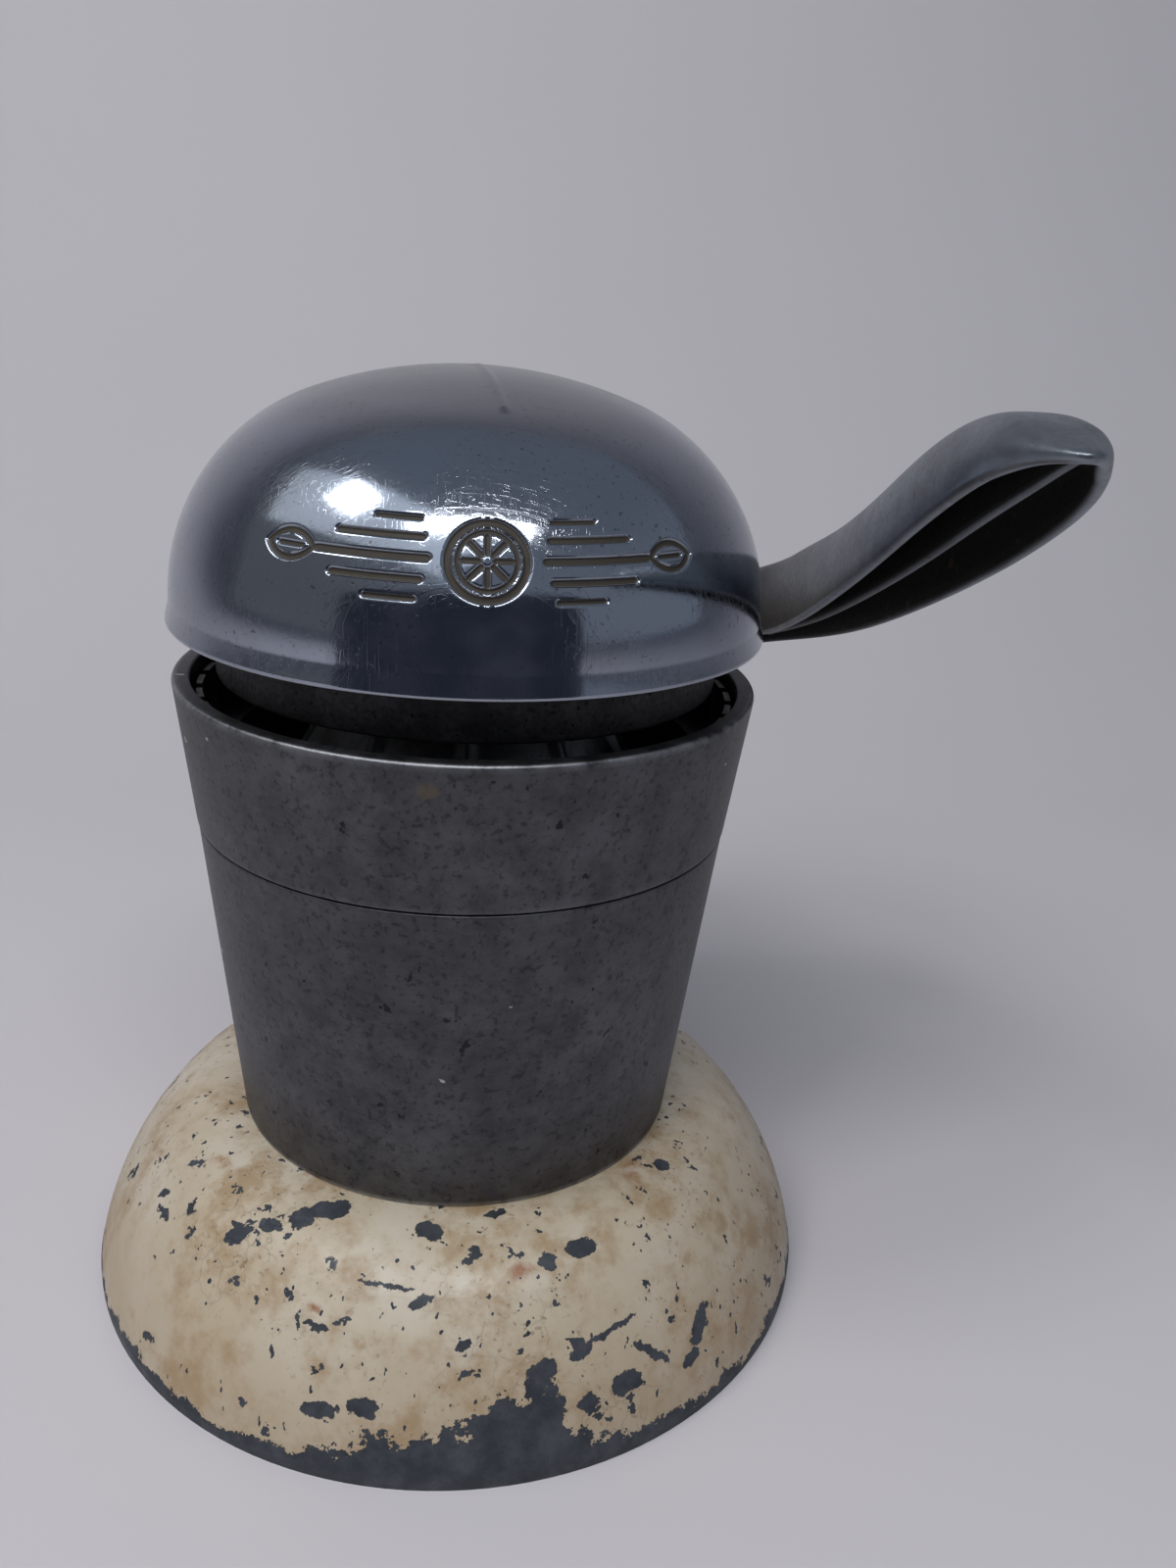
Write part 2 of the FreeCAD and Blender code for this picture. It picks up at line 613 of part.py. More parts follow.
def build_pinion():
    """Involute teeth, which no sketch or primitive gives, with the sizes read from the sheet."""
    module, count = size("gear_module"), int(size("pinion_teeth"))
    pitch, tip, root = module * count / 2, module * (count + 2) / 2, module * (count - 2.5) / 2
    pressure = math.radians(size("pressure_angle"))
    base = pitch * math.cos(pressure)
    half_tooth = math.pi / (2 * count) + math.tan(pressure) - pressure
    last = math.sqrt((tip / base) ** 2 - 1)
    steps = [last * step / 6 for step in range(7)]
    edges = []
    for tooth in range(count):
        middle = 2 * math.pi * tooth / count
        right = [involute(base, step, 0) for step in steps]
        rising = [Rotation(Vector(0, 0, 1), math.degrees(middle - half_tooth)) * point
                  for point in right]
        falling = [Rotation(Vector(0, 0, 1), math.degrees(middle + half_tooth))
                   * Vector(point.x, -point.y, 0) for point in right]
        flanks = []
        for points in (rising, falling[::-1]):
            curve = Part.BSplineCurve()
            curve.interpolate(points)
            flanks.append(curve.toShape())
        crest = Vector(tip * math.cos(middle), tip * math.sin(middle), 0)
        foot_in = rising[0] * (root / base)
        foot_out = falling[0] * (root / base)
        valley = middle + math.pi / count
        bottom = Vector(root * math.cos(valley), root * math.sin(valley), 0)
        next_foot = Rotation(Vector(0, 0, 1), 360 / count) * foot_in
        edges += [Part.makeLine(foot_in, involute(base, 0, middle - half_tooth)), flanks[0],
                  Part.Arc(rising[-1], crest, falling[-1]).toShape(), flanks[1],
                  Part.makeLine(falling[0], foot_out),
                  Part.Arc(foot_out, bottom, next_foot).toShape()]
    face = Part.Face(Part.Wire(Part.__sortEdges__(edges)))
    teeth = face.extrude(Vector(0, 0, size("pinion_face")))
    hub = Part.makeCylinder(size("pinion_hub_radius"), size("pinion_face + pinion_hub_length"))
    bore = Part.makeCylinder(size("shaft_radius + fit_gap"), 2 * size("shaft_right"),
                             Vector(0, 0, -1))
    cross = Part.makeCylinder(size("lever_pin_radius"), 4 * tip,
                              Vector(-2 * tip, 0, size("pinion_face + pinion_hub_length / 2")),
                              Vector(1, 0, 0))
    gear = doc.addObject("Part::Feature", "pinion")
    gear.Shape = teeth.fuse(hub).cut(bore).cut(cross).removeSplitter()
    # The gear's own X axis carries a tooth, and that tooth points at the rack.
    stand = Rotation(Vector(0, 1, 0), 90) * Rotation(Vector(0, 0, 1), -90)
    gear.Placement = Placement(Vector(-size("pinion_left"), size(SHAFT_BACK),
                                      size("shaft_height")), stand)
    keep("pinion", gear)


def build_column():
    body = new_body("column")
    foot = box_outline(sketch_on(body, "XY_Plane", "pad_top"), "-column_foot_half",
                       "column_foot_half", "column_front", "pad_back")
    pad(body, foot, "column_foot_height")
    round_edges(body, upright, "2.5")
    stem = box_outline(sketch_on(body, "XY_Plane", "pad_top"), "-column_half_width",
                       "column_half_width", "column_front", "column_back")
    pad(body, stem, "case_top - pad_top")
    case = outline(sketch_on(body, "YZ_Plane"), [
        ("column_front", "case_low_front"), ("column_back", "case_low_front"),
        ("case_back", "case_low_back"), ("case_back", "case_top"), ("column_front", "case_top"),
    ])
    pad(body, case, "2 * case_half_width", middle=True)
    tube = circles(sketch_on(body, "YZ_Plane", "case_half_width - 2"),
                   [(SHAFT_BACK, "shaft_height")], "arm_tube_radius")
    pad(body, tube, "arm_tube_end - case_half_width + 2")
    guide = box_outline(sketch_on(body, "XY_Plane", "case_top"),
                        "-rack_half_width - rack_clearance", "rack_half_width + rack_clearance",
                        "rack_front - rack_clearance", "rack_back + rack_clearance")
    pocket(body, guide, "case_top - guide_bottom")
    room = box_outline(sketch_on(body, "XZ_Plane", "-case_back"), "-gear_room_half",
                       "gear_room_half", "gear_room_low", "gear_room_high")
    pocket(body, room, "case_back - rack_back", flip=True)
    shaft_line = [(SHAFT_BACK, "shaft_height")]
    pocket(body, circles(sketch_on(body, "YZ_Plane"), shaft_line, "shaft_radius + 0.6"),
           "4 * arm_tube_end", middle=True)
    pocket(body, circles(sketch_on(body, "YZ_Plane", "arm_tube_end"), shaft_line, "bush_radius"),
           "bush_length + 0.5")
    pocket(body, circles(sketch_on(body, "YZ_Plane", "-gear_room_half"), shaft_line, "bush_radius"),
           "case_half_width")
    corners = [(f"{side} * cover_screw_across", up) for side in (-1, 1)
               for up in ("cover_screw_low", "cover_screw_high")]
    pocket(body, circles(sketch_on(body, "XZ_Plane", "-case_back"), corners,
                         "cover_screw_radius + fit_gap"), "cover_screw_bite + 1", flip=True)
    spots = [("-foot_screw_apart", "foot_screw_back"), ("foot_screw_apart", "foot_screw_back")]
    pocket(body, circles(sketch_on(body, "XY_Plane", "pad_top + foot_screw_bite + 2"), spots,
                         "foot_screw_radius + fit_gap"), "foot_screw_bite + 3")
    pocket(body, circles(sketch_on(body, "XZ_Plane", "-column_back"), [("0", "drag_height")],
                         "drag_radius + fit_gap"), "column_back - rack_back", flip=True)
    pocket(body, circles(sketch_on(body, "YZ_Plane", "column_half_width"),
                         [("stop_back", "stop_height")], "2"), "column_half_width - rack_half_width")
    keep("column", body)


def build_bushes():
    for label, length, where in (
            ("left_bush", "case_half_width - gear_room_half - 0.2",
             {"across": "-case_half_width", "lie": "X"}),
            ("right_bush", "bush_length", {"across": "arm_tube_end", "lie": "-X"})):
        body = new_body(label)
        turn(body, [
            ("shaft_radius + fit_gap", "-bush_flange_length"),
            ("bush_flange", "-bush_flange_length"), ("bush_flange", "-0.02"),
            ("bush_radius - fit_gap", "-0.02"), ("bush_radius - fit_gap", length),
            ("shaft_radius + fit_gap", length),
        ])
        place(body, back=SHAFT_BACK, up="shaft_height", **where)
        keep(label, body)


def build_shaft():
    body = new_body("lever_shaft")
    turn(body, [
        ("0", "-shaft_left"), ("shaft_radius - 0.6", "-shaft_left"),
        ("shaft_radius", "-shaft_left + 0.6"), ("shaft_radius", "-clip_groove - clip_width - 0.1"),
        ("clip_inner", "-clip_groove - clip_width - 0.1"), ("clip_inner", "-clip_groove"),
        ("shaft_radius", "-clip_groove"), ("shaft_radius", "shaft_right - 0.6"),
        ("shaft_radius - 0.6", "shaft_right"), ("0", "shaft_right"),
    ])
    for height in ("pinion_face - pinion_left + pinion_hub_length / 2",
                   "(hub_left + hub_right) / 2"):
        cross = circles(sketch_on(body, "XZ_Plane"), [("0", height)], "lever_pin_radius")
        pocket(body, cross, "4 * shaft_radius", middle=True)
    place(body, back=SHAFT_BACK, up="shaft_height", lie="X")
    keep("lever_shaft", body)


def build_shaft_parts():
    ring_part("thrust_washer", "shaft_radius + 0.1", "thrust_radius", "thrust_washer",
              across="-clip_groove + 0.05", back=SHAFT_BACK, up="shaft_height", lie="X")
    body = new_body("shaft_clip")
    sketch = outline(sketch_on(body, "XZ_Plane"), [
        ("clip_inner + fit_gap", "0"), ("clip_outer", "0"),
        ("clip_outer", "clip_width"), ("clip_inner + fit_gap", "clip_width"),
    ])
    feature = body.newObject("PartDesign::Revolution", "clip_turned")
    feature.Profile = sketch
    feature.ReferenceAxis = (sketch, ["V_Axis"])
    feature.Angle = 300
    doc.recompute()
    place(body, across="-clip_groove - clip_width - fit_gap", back=SHAFT_BACK, up="shaft_height",
          lie="X")
    keep("shaft_clip", body)
    for label, across, length in (
            ("pinion_pin", "pinion_face - pinion_left + pinion_hub_length / 2",
             "2 * pinion_hub_radius - 0.4"),
            ("lever_pin", "(hub_left + hub_right) / 2", "2 * hub_radius - 0.6")):
        pin = doc.addObject("Part::Cylinder", label)
        pin.setExpression("Radius", formula("lever_pin_radius - fit_gap"))
        pin.setExpression("Height", formula(length))
        place(pin, across, f"{SHAFT_BACK} - ({length}) / 2", "shaft_height", lie="Y")
        keep(label, pin)


def build_drag_unit():
    back = "rack_back + 0.02"
    shoe = doc.addObject("Part::Cylinder", "drag_shoe")
    shoe.setExpression("Radius", formula("drag_radius"))
    shoe.setExpression("Height", formula("drag_shoe_length - 1"))
    place(shoe, back=back, up="drag_height", lie="Y")
    keep("drag_shoe", shoe)
    spring_start = f"{back} + drag_shoe_length - 1"
    coil = doc.addObject("Part::Feature", "drag_spring")
    wire = size("drag_wire")
    length = size("column_back - drag_screw_length") + 1.5 - size(spring_start) - 2 * wire - 0.1
    radius = size("drag_radius") - 2 * wire
    path = Part.makeHelix(length / 3, length, radius)
    section = Part.Wire(Part.makeCircle(wire, Vector(radius, 0, 0), Vector(0, 1, 0)))
    coil.Shape = Part.Wire(path.Edges).makePipeShell([section], True, True)
    coil.Placement = Placement(Vector(0, size(spring_start) + wire + 0.05, size("drag_height")),
                               Rotation(Vector(1, 0, 0), -90))
    keep("drag_spring", coil)
    plug = new_body("drag_screw")
    turn(plug, [("0", "0"), ("drag_radius", "0"), ("drag_radius", "drag_screw_length"),
                ("0", "drag_screw_length")])
    slot = box_outline(sketch_on(plug, "XY_Plane", "drag_screw_length"), "-4", "4", "-0.5", "0.5")
    pocket(plug, slot, "1.2")
    place(plug, back="column_back - drag_screw_length + 1.5", up="drag_height", lie="Y")
    keep("drag_screw", plug)


def build_stop_screw():
    body = new_body("stop_screw")
    tip = "column_half_width - rack_half_width + stop_slot_depth - 0.6"
    turn(body, [("0", "-2"), ("3.4", "-2"), ("3.4", "0"), ("1.95", "0"),
                ("1.95", "column_half_width - rack_half_width - 0.4"),
                ("1.45", "column_half_width - rack_half_width"), ("1.45", tip), ("0", tip)])
    slot = box_outline(sketch_on(body, "XY_Plane", "-2"), "-4", "4", "-0.5", "0.5")
    pocket(body, slot, "1", flip=True)
    place(body, "column_half_width + 0.02", "stop_back", "stop_height", lie="-X")
    keep("stop_screw", body)


def build_rear_cover():
    body = new_body("rear_cover")
    plate = box_outline(sketch_on(body, "XZ_Plane"), "-case_half_width + 0.4",
                        "case_half_width - 0.4", "case_low_back + 0.4", "case_top - 0.4")
    pad(body, plate, "cover_thickness")
    corners = [(f"{side} * cover_screw_across", up) for side in (-1, 1)
               for up in ("cover_screw_low", "cover_screw_high")]
    pocket(body, circles(sketch_on(body, "XZ_Plane"), corners, "cover_screw_radius + 0.2"),
           "4 * cover_thickness", middle=True)
    place(body, back="case_back + cover_thickness + 0.02")
    keep("rear_cover", body)
    members = []
    for number, (across, up) in enumerate(corners):
        member = screw(f"cover_screw_{number}", "cover_screw_radius",
                       "cover_thickness + cover_screw_bite", "cover_screw_head", "1.8")
        place(member, across, "case_back + cover_thickness + 0.05", up, lie="-Y")
        members.append(member)
    group("cover_screws", members)


# ---------------------------------------------------------------- lever

def prism(name, plane_turn, corners, start, length):
    """A flat outline pushed straight out: a sketch of the document with a Part extrusion."""
    sketch = doc.addObject("Sketcher::SketchObject", name + "_sketch")
    outline(sketch, corners)
    sketch.Placement = Placement(Vector(0, 0, 0), plane_turn)
    sketch.setExpression("Placement.Base." + ("x" if plane_turn.Angle else "z"), formula(start))
    block = doc.addObject("Part::Extrusion", name)
    block.Base = sketch
    block.DirMode = "Normal"
    block.Solid = True
    block.setExpression("LengthFwd", formula(length))
    doc.recompute()
    return block


def combine(kind, name, first, second):
    joined = doc.addObject(kind, name)
    joined.Base = first
    joined.Tool = second
    doc.recompute()
    return joined


def lever_side(name, roof, opening):
    """The lever seen from its side, between a top line lowered by roof and a bottom line that
    opening lowers, or raises where it is negative."""
    return prism(name, Rotation(Vector(1, 1, 1), 120), [
        ("shaft_line_back", f"shaft_height - 9.5 - {opening}"),
        ("lever_root", f"lever_root_low - {opening}", "-560"),
        ("-51", f"173.6 - {opening}", "+190"),
        ("-lever_tip - 2", f"190.5 - {opening}"),
        ("-lever_tip - 2", f"191.5 - {roof}", "-8"),
        ("-86", f"lever_crest - {roof}", "-70"),
        ("-62", f"192.4 - {roof}", "+720"),
        ("lever_root + 11", f"146 - {roof}"),
        ("shaft_line_back", f"shaft_height + 10 - {roof}"),
    ], "lever_start", "lever_reach")


def lever_plan(name, inset, back):
    """The lever seen from above: a cranked root, long sides that open out, and a leaf's tip."""
    return prism(name, Rotation(), [
        (f"hub_left + {inset}", back),
        (f"hub_left + {inset}", "72", "+26"),
        (f"62.5 + {inset}", "58", "-34"),
        (f"lever_inner + {inset}", "40"),
        (f"72 + {inset}", "-74", "+18"),
        ("80", f"-lever_tip + 0.5 + {inset}", "+5"),
        ("87", f"-90 + {inset}", "+75"),
        (f"95.3 - {inset}", "-50", "+558"),
        (f"85.4 - {inset}", "lever_root", "+90"),
        (f"hub_right - {inset}", "82"),
        (f"hub_right - {inset}", back),
    ], "90", "140")


def build_lever():
    blank = combine("Part::Common", "lever_blank", lever_side("lever_side", "0", "0"),
                    lever_plan("lever_plan", "0", "88"))
    hollow = combine("Part::Common", "lever_hollow",
                     lever_side("lever_under_roof", "lever_roof", "30"),
                     lever_plan("lever_within", "lever_wall", "74"))
    strip = prism("lever_rib_strip", Rotation(), [
        ("76 - lever_rib / 2", "60"), ("83.6 - lever_rib / 2", "-90"),
        ("83.6 + lever_rib / 2", "-90"), ("76 + lever_rib / 2", "60"),
    ], "90", "140")
    rib = combine("Part::Common", "lever_rib_blank", strip,
                  lever_side("lever_rib_side", "1", "-rib_recess"))
    shell = combine("Part::Cut", "lever_shell", blank, hollow)
    kept_rib = combine("Part::Common", "lever_rib_kept", rib, lever_plan("lever_plan_rib", "1", "74"))
    ribbed = combine("Part::Fuse", "lever_ribbed", shell, kept_rib)
    hub = doc.addObject("Part::Cylinder", "lever_hub")
    hub.setExpression("Radius", formula("hub_radius"))
    hub.setExpression("Height", formula("hub_right - hub_left"))
    place(hub, "hub_left", SHAFT_BACK, "shaft_height", lie="X")
    body = combine("Part::Fuse", "lever_with_hub", ribbed, hub)
    bore = doc.addObject("Part::Cylinder", "lever_bore")
    bore.setExpression("Radius", formula("shaft_radius + fit_gap"))
    bore.setExpression("Height", formula("hub_right - hub_left + 20"))
    place(bore, "hub_left - 10", SHAFT_BACK, "shaft_height", lie="X")
    cross = doc.addObject("Part::Cylinder", "lever_cross_hole")
    cross.setExpression("Radius", formula("lever_pin_radius"))
    cross.setExpression("Height", formula("4 * hub_radius"))
    place(cross, "(hub_left + hub_right) / 2", f"{SHAFT_BACK} - 2 * hub_radius", "shaft_height",
          lie="Y")
    bored = combine("Part::Cut", "lever_bored", body, bore)
    keep("lever", combine("Part::Cut", "lever", bored, cross))


# ---------------------------------------------------------------- build and export

for build in (build_base, build_column_screws, build_cup, build_collar, build_basket, build_cone,
              build_cone_screw, build_dome, build_press_cup, build_press_screw, build_hinge,
              build_rack, build_pinion, build_column, build_bushes, build_shaft,
              build_shaft_parts, build_drag_unit, build_stop_screw, build_rear_cover, build_lever):
    build()

doc.recompute()
faults = [thing.Name for thing in doc.Objects
          if "Invalid" in thing.State or "Error" in thing.State]
faults += [label for label, thing in NODES.items()
           if thing.Shape.isNull() or not thing.Shape.isValid()]
if faults:
    raise ValueError(f"failed: {faults}")

for label, thing in NODES.items():
    thing.Shape.exportStep(f"parts/{label}.step")
    box = thing.Shape.BoundBox
    print(f"{label:20s} {thing.Shape.Volume / 1000:9.2f} cm3  x {box.XMin:7.1f} {box.XMax:7.1f}"
          f"  y {box.YMin:7.1f} {box.YMax:7.1f}  z {box.ZMin:7.1f} {box.ZMax:7.1f}"
          f"  {len(thing.Shape.Solids)}")
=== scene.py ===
import logging
import math
from dataclasses import dataclass, field
from enum import Enum
from functools import reduce
from typing import Sequence

import bmesh
import bpy
import numpy as np
from mathutils import Matrix, Vector
from numpy.typing import NDArray


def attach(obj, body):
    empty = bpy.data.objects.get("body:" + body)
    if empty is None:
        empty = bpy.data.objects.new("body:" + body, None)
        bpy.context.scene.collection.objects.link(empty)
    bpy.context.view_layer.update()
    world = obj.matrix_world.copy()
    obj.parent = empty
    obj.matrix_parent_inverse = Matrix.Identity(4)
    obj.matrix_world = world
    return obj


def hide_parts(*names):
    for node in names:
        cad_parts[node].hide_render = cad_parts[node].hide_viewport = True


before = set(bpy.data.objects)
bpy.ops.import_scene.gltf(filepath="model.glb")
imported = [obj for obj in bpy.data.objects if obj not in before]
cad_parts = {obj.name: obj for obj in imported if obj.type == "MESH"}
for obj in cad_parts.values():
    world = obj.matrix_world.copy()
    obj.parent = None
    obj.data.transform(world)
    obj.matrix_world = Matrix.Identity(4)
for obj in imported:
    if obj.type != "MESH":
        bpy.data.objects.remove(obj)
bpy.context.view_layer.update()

# A lever citrus press: an enamelled bell base, a tapered cup and strainer ring, a ribbed cone,
# a domed head that hinges on a rack, and a hollow cast lever that drives the rack.
# Sizes are in millimetres and meshes in metres. Places in materials, the distances at which points
# are sewn together, and the studio are in metres too.

Array = NDArray[np.float64]
MM = 0.001
SEWN_APART = 2e-6
SHORTEST_EDGE = 1e-7
TINY = 1e-6
LOG = logging.getLogger("citrus_press")


class Body(Enum):
    """The bodies that new pieces ride on."""

    STAND = "stand"
    HEAD = "head"
    LEVER = "lever"


class Slot(Enum):
    """The record's material slots."""

    ENAMEL = "enamel"
    POLISHED = "polished_aluminium"
    DULL = "dull_aluminium"
    ROUGH = "rough_aluminium"
    LEVER = "lever_aluminium"
    STRAINER = "strainer_aluminium"
    CONE = "cone_aluminium"
    STEEL = "machined_steel"
    ZINC = "zinc_steel"
    BRONZE = "bronze"


# ---------------------------------------------------------------- surfaces

@dataclass
class Skin:
    """Points in millimetres, the quads between them, and numbers marked on the points."""

    points: Array
    quads: NDArray[np.int64]
    marks: dict[str, Array] = field(default_factory=dict)


def skin_of_grid(grid: Array, wrap_rows: bool, wrap_columns: bool, **marks: Array) -> Skin:
    """Lays quads over a grid of points: quad (i, j) joins points (i, j), (i, j+1), (i+1, j+1)
    and (i+1, j), and a wrapped side joins its last line to its first.

    Args:
        grid: rows x columns x 3 points.
        wrap_rows: whether the last row joins the first.
        wrap_columns: whether the last column joins the first.
        marks: rows x columns numbers kept on the points.

    Returns:
        The skin.
    """
    rows, columns = grid.shape[:2]
    index = np.arange(rows * columns).reshape(rows, columns)
    if wrap_rows:
        index = np.vstack([index, index[:1]])
    if wrap_columns:
        index = np.hstack([index, index[:, :1]])
    quads = np.stack([index[:-1, :-1], index[:-1, 1:], index[1:, 1:], index[1:, :-1]], axis=-1)
    return Skin(grid.reshape(-1, 3), quads.reshape(-1, 4),
                {name: np.broadcast_to(mark, (rows, columns)).reshape(-1)
                 for name, mark in marks.items()})


def joined(skins: Sequence[Skin]) -> Skin:
    """Puts several skins into one, with a mark that a skin lacks taken as nought.

    Args:
        skins: the skins.

    Returns:
        One skin of all their points and quads.
    """
    starts = np.cumsum([0] + [len(skin.points) for skin in skins[:-1]])
    names = {name for skin in skins for name in skin.marks}
    return Skin(
        np.vstack([skin.points for skin in skins]),
        np.vstack([skin.quads + start for skin, start in zip(skins, starts)]),
        {name: np.concatenate([skin.marks.get(name, np.zeros(len(skin.points)))
                               for skin in skins]) for name in names})


def make_piece(name: str, skin: Skin, body: Body, finish: bpy.types.Material,
               replaces: str, crease: float = 35.0) -> bpy.types.Object:
    """Makes a finished piece of a skin, sewn at its seams and poles, with faces outwards.

    Args:
        name: the piece's name.
        skin: its surface.
        body: the body that it rides on.
        finish: its material.
        replaces: the CAD node that it stands for.
        crease: the angle in degrees past which an edge is shaded sharp.

    Returns:
        The object, at the origin.
    """
    mesh = bpy.data.meshes.new(name)
    mesh.from_pydata((skin.points * MM).tolist(), [], skin.quads.tolist())
    for mark, numbers in skin.marks.items():
        mesh.attributes.new(mark, "FLOAT", "POINT").data.foreach_set(
            "value", numbers.astype(np.float32))
    sewing = bmesh.new()
    sewing.from_mesh(mesh)
    bmesh.ops.remove_doubles(sewing, verts=sewing.verts, dist=SEWN_APART)
    bmesh.ops.dissolve_degenerate(sewing, edges=sewing.edges, dist=SHORTEST_EDGE)
    bmesh.ops.recalc_face_normals(sewing, faces=sewing.faces)
    sewing.to_mesh(mesh)
    sewing.free()
    mesh.shade_smooth()
    mesh.set_sharp_from_angle(angle=math.radians(crease))
    mesh.materials.append(finish)
    made = bpy.data.objects.new(name, mesh)
    bpy.context.scene.collection.objects.link(made)
    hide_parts(replaces)
    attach(made, body.value)
    LOG.info("%s: %d points, %d faces", name, len(mesh.vertices), len(mesh.polygons))
    return made


@dataclass(frozen=True)
class Corner:
    """A corner of a turned profile: its distance from the axis, its height and its rounding."""

    across: float
    up: float
    rounding: float = 0.0


def rounded_profile(corners: Sequence[Corner], closed: bool = True, steps: int = 5) -> Array:
    """A profile through corners, each rounded corner an arc tangent to both its sides. The arc's
    centre lies on the corner's bisector, rounding / sin(half the corner's angle) from it.

    Args:
        corners: the corners in order.
        closed: whether the last corner joins the first.
        steps: the number of spans in each arc.

    Returns:
        n x 2 distances and heights.
    """
    places = np.array([[corner.across, corner.up] for corner in corners])
    parts = []
    for number, corner in enumerate(corners):
        at = places[number]
        ends = not closed and number in (0, len(corners) - 1)
        if corner.rounding == 0 or ends:
            parts.append(at[None])
            continue
        back = places[number - 1] - at
        on = places[(number + 1) % len(corners)] - at
        back, on = back / np.linalg.norm(back), on / np.linalg.norm(on)
        half = math.acos(np.clip(back @ on, -1, 1)) / 2
        middle = (back + on) / np.linalg.norm(back + on)
        centre = at + middle * corner.rounding / math.sin(half)
        first = at + back * corner.rounding / math.tan(half) - centre
        last = at + on * corner.rounding / math.tan(half) - centre
        share = np.linspace(0, 1, steps + 1)[:, None]
        sweep = math.pi - 2 * half
        parts.append(centre + (np.sin((1 - share) * sweep) * first
                               + np.sin(share * sweep) * last) / math.sin(sweep))
    return np.vstack(parts)


def with_rows(profile: Array, span: float) -> Array:
    """The same profile with points added evenly in each gap, so that no gap is longer than a span.

    Args:
        profile: n x 2 points.
        span: the longest gap that is left.

    Returns:
        The points with the new ones between them.
    """
    gaps = np.linalg.norm(np.diff(profile, axis=0), axis=1)
    along = np.concatenate([[0], np.cumsum(gaps)])
    counts = np.maximum(np.ceil(gaps / span).astype(int), 1)
    places = np.concatenate([np.repeat(along[:-1], counts) + np.concatenate(
        [np.arange(count) for count in counts]) * np.repeat(gaps / counts, counts), along[-1:]])
    return np.stack([np.interp(places, along, profile[:, axis]) for axis in (0, 1)], axis=1)


def arc(centre: tuple[float, float], radius: float, start: float, end: float,
        steps: int) -> Array:
    """Points of a circle, centre + radius (cos a, sin a), for a from start to end in degrees."""
    turn = np.radians(np.linspace(start, end, steps + 1))
    return np.array(centre) + radius * np.stack([np.cos(turn), np.sin(turn)], axis=1)


def even_turn(count: int) -> Array:
    """Azimuths in degrees of that many equal columns."""
    return np.arange(count) * 360 / count


def turned(profile: Array, azimuths: Array) -> Array:
    """Turns a profile about the upright axis. A point at distance r, height z and azimuth a lies
    at (r sin a, -r cos a, z), so azimuth 0 is the front and 90 the lever's side.

    Args:
        profile: rows x 2, or rows x columns x 2, distances and heights.
        azimuths: the columns' azimuths in degrees.

    Returns:
        rows x columns x 3 points.
    """
    if profile.ndim == 2:
        profile = np.repeat(profile[:, None], len(azimuths), axis=1)
    turn = np.radians(azimuths)[None]
    across, up = profile[..., 0], profile[..., 1]
    return np.stack([across * np.sin(turn), -across * np.cos(turn), up], axis=-1)


def smooth_line(knots: Array, values: Array, at: Array) -> Array:
    """The natural cubic spline through the values at the knots: its second derivatives m solve
    the usual band of equations, with m nought at both ends.

    Args:
        knots: rising places.
        values: one value for each, or one row of values.
        at: the places asked for.

    Returns:
        The spline's values there.
    """
    values = values.reshape(len(knots), -1)
    gap = np.diff(knots)
    slope = np.diff(values, axis=0) / gap[:, None]
    band = np.eye(len(knots))
    inner = np.arange(1, len(knots) - 1)
    band[inner, inner - 1], band[inner, inner + 1] = gap[:-1], gap[1:]
    band[inner, inner] = 2 * (gap[:-1] + gap[1:])
    right = np.zeros_like(values)
    right[1:-1] = 6 * np.diff(slope, axis=0)
    bend = np.linalg.solve(band, right)
    cell = np.clip(np.searchsorted(knots, at) - 1, 0, len(gap) - 1)
    low, wide = (at - knots[cell])[:, None], gap[cell][:, None]
    high = wide - low
    return ((bend[cell] * high ** 3 + bend[cell + 1] * low ** 3) / (6 * wide)
            + (values[cell] / wide - bend[cell] * wide / 6) * high
            + (values[cell + 1] / wide - bend[cell + 1] * wide / 6) * low)


def soft_step(value: Array, low: float, high: float) -> Array:
    """0 below low, 1 above high, and 3t^2 - 2t^3 between, t the share of the way."""
    share = np.clip((value - low) / (high - low), 0, 1)
    return share * share * (3 - 2 * share)


# ---------------------------------------------------------------- finishes

Colour = tuple[float, float, float]
Source = bpy.types.NodeSocket | float


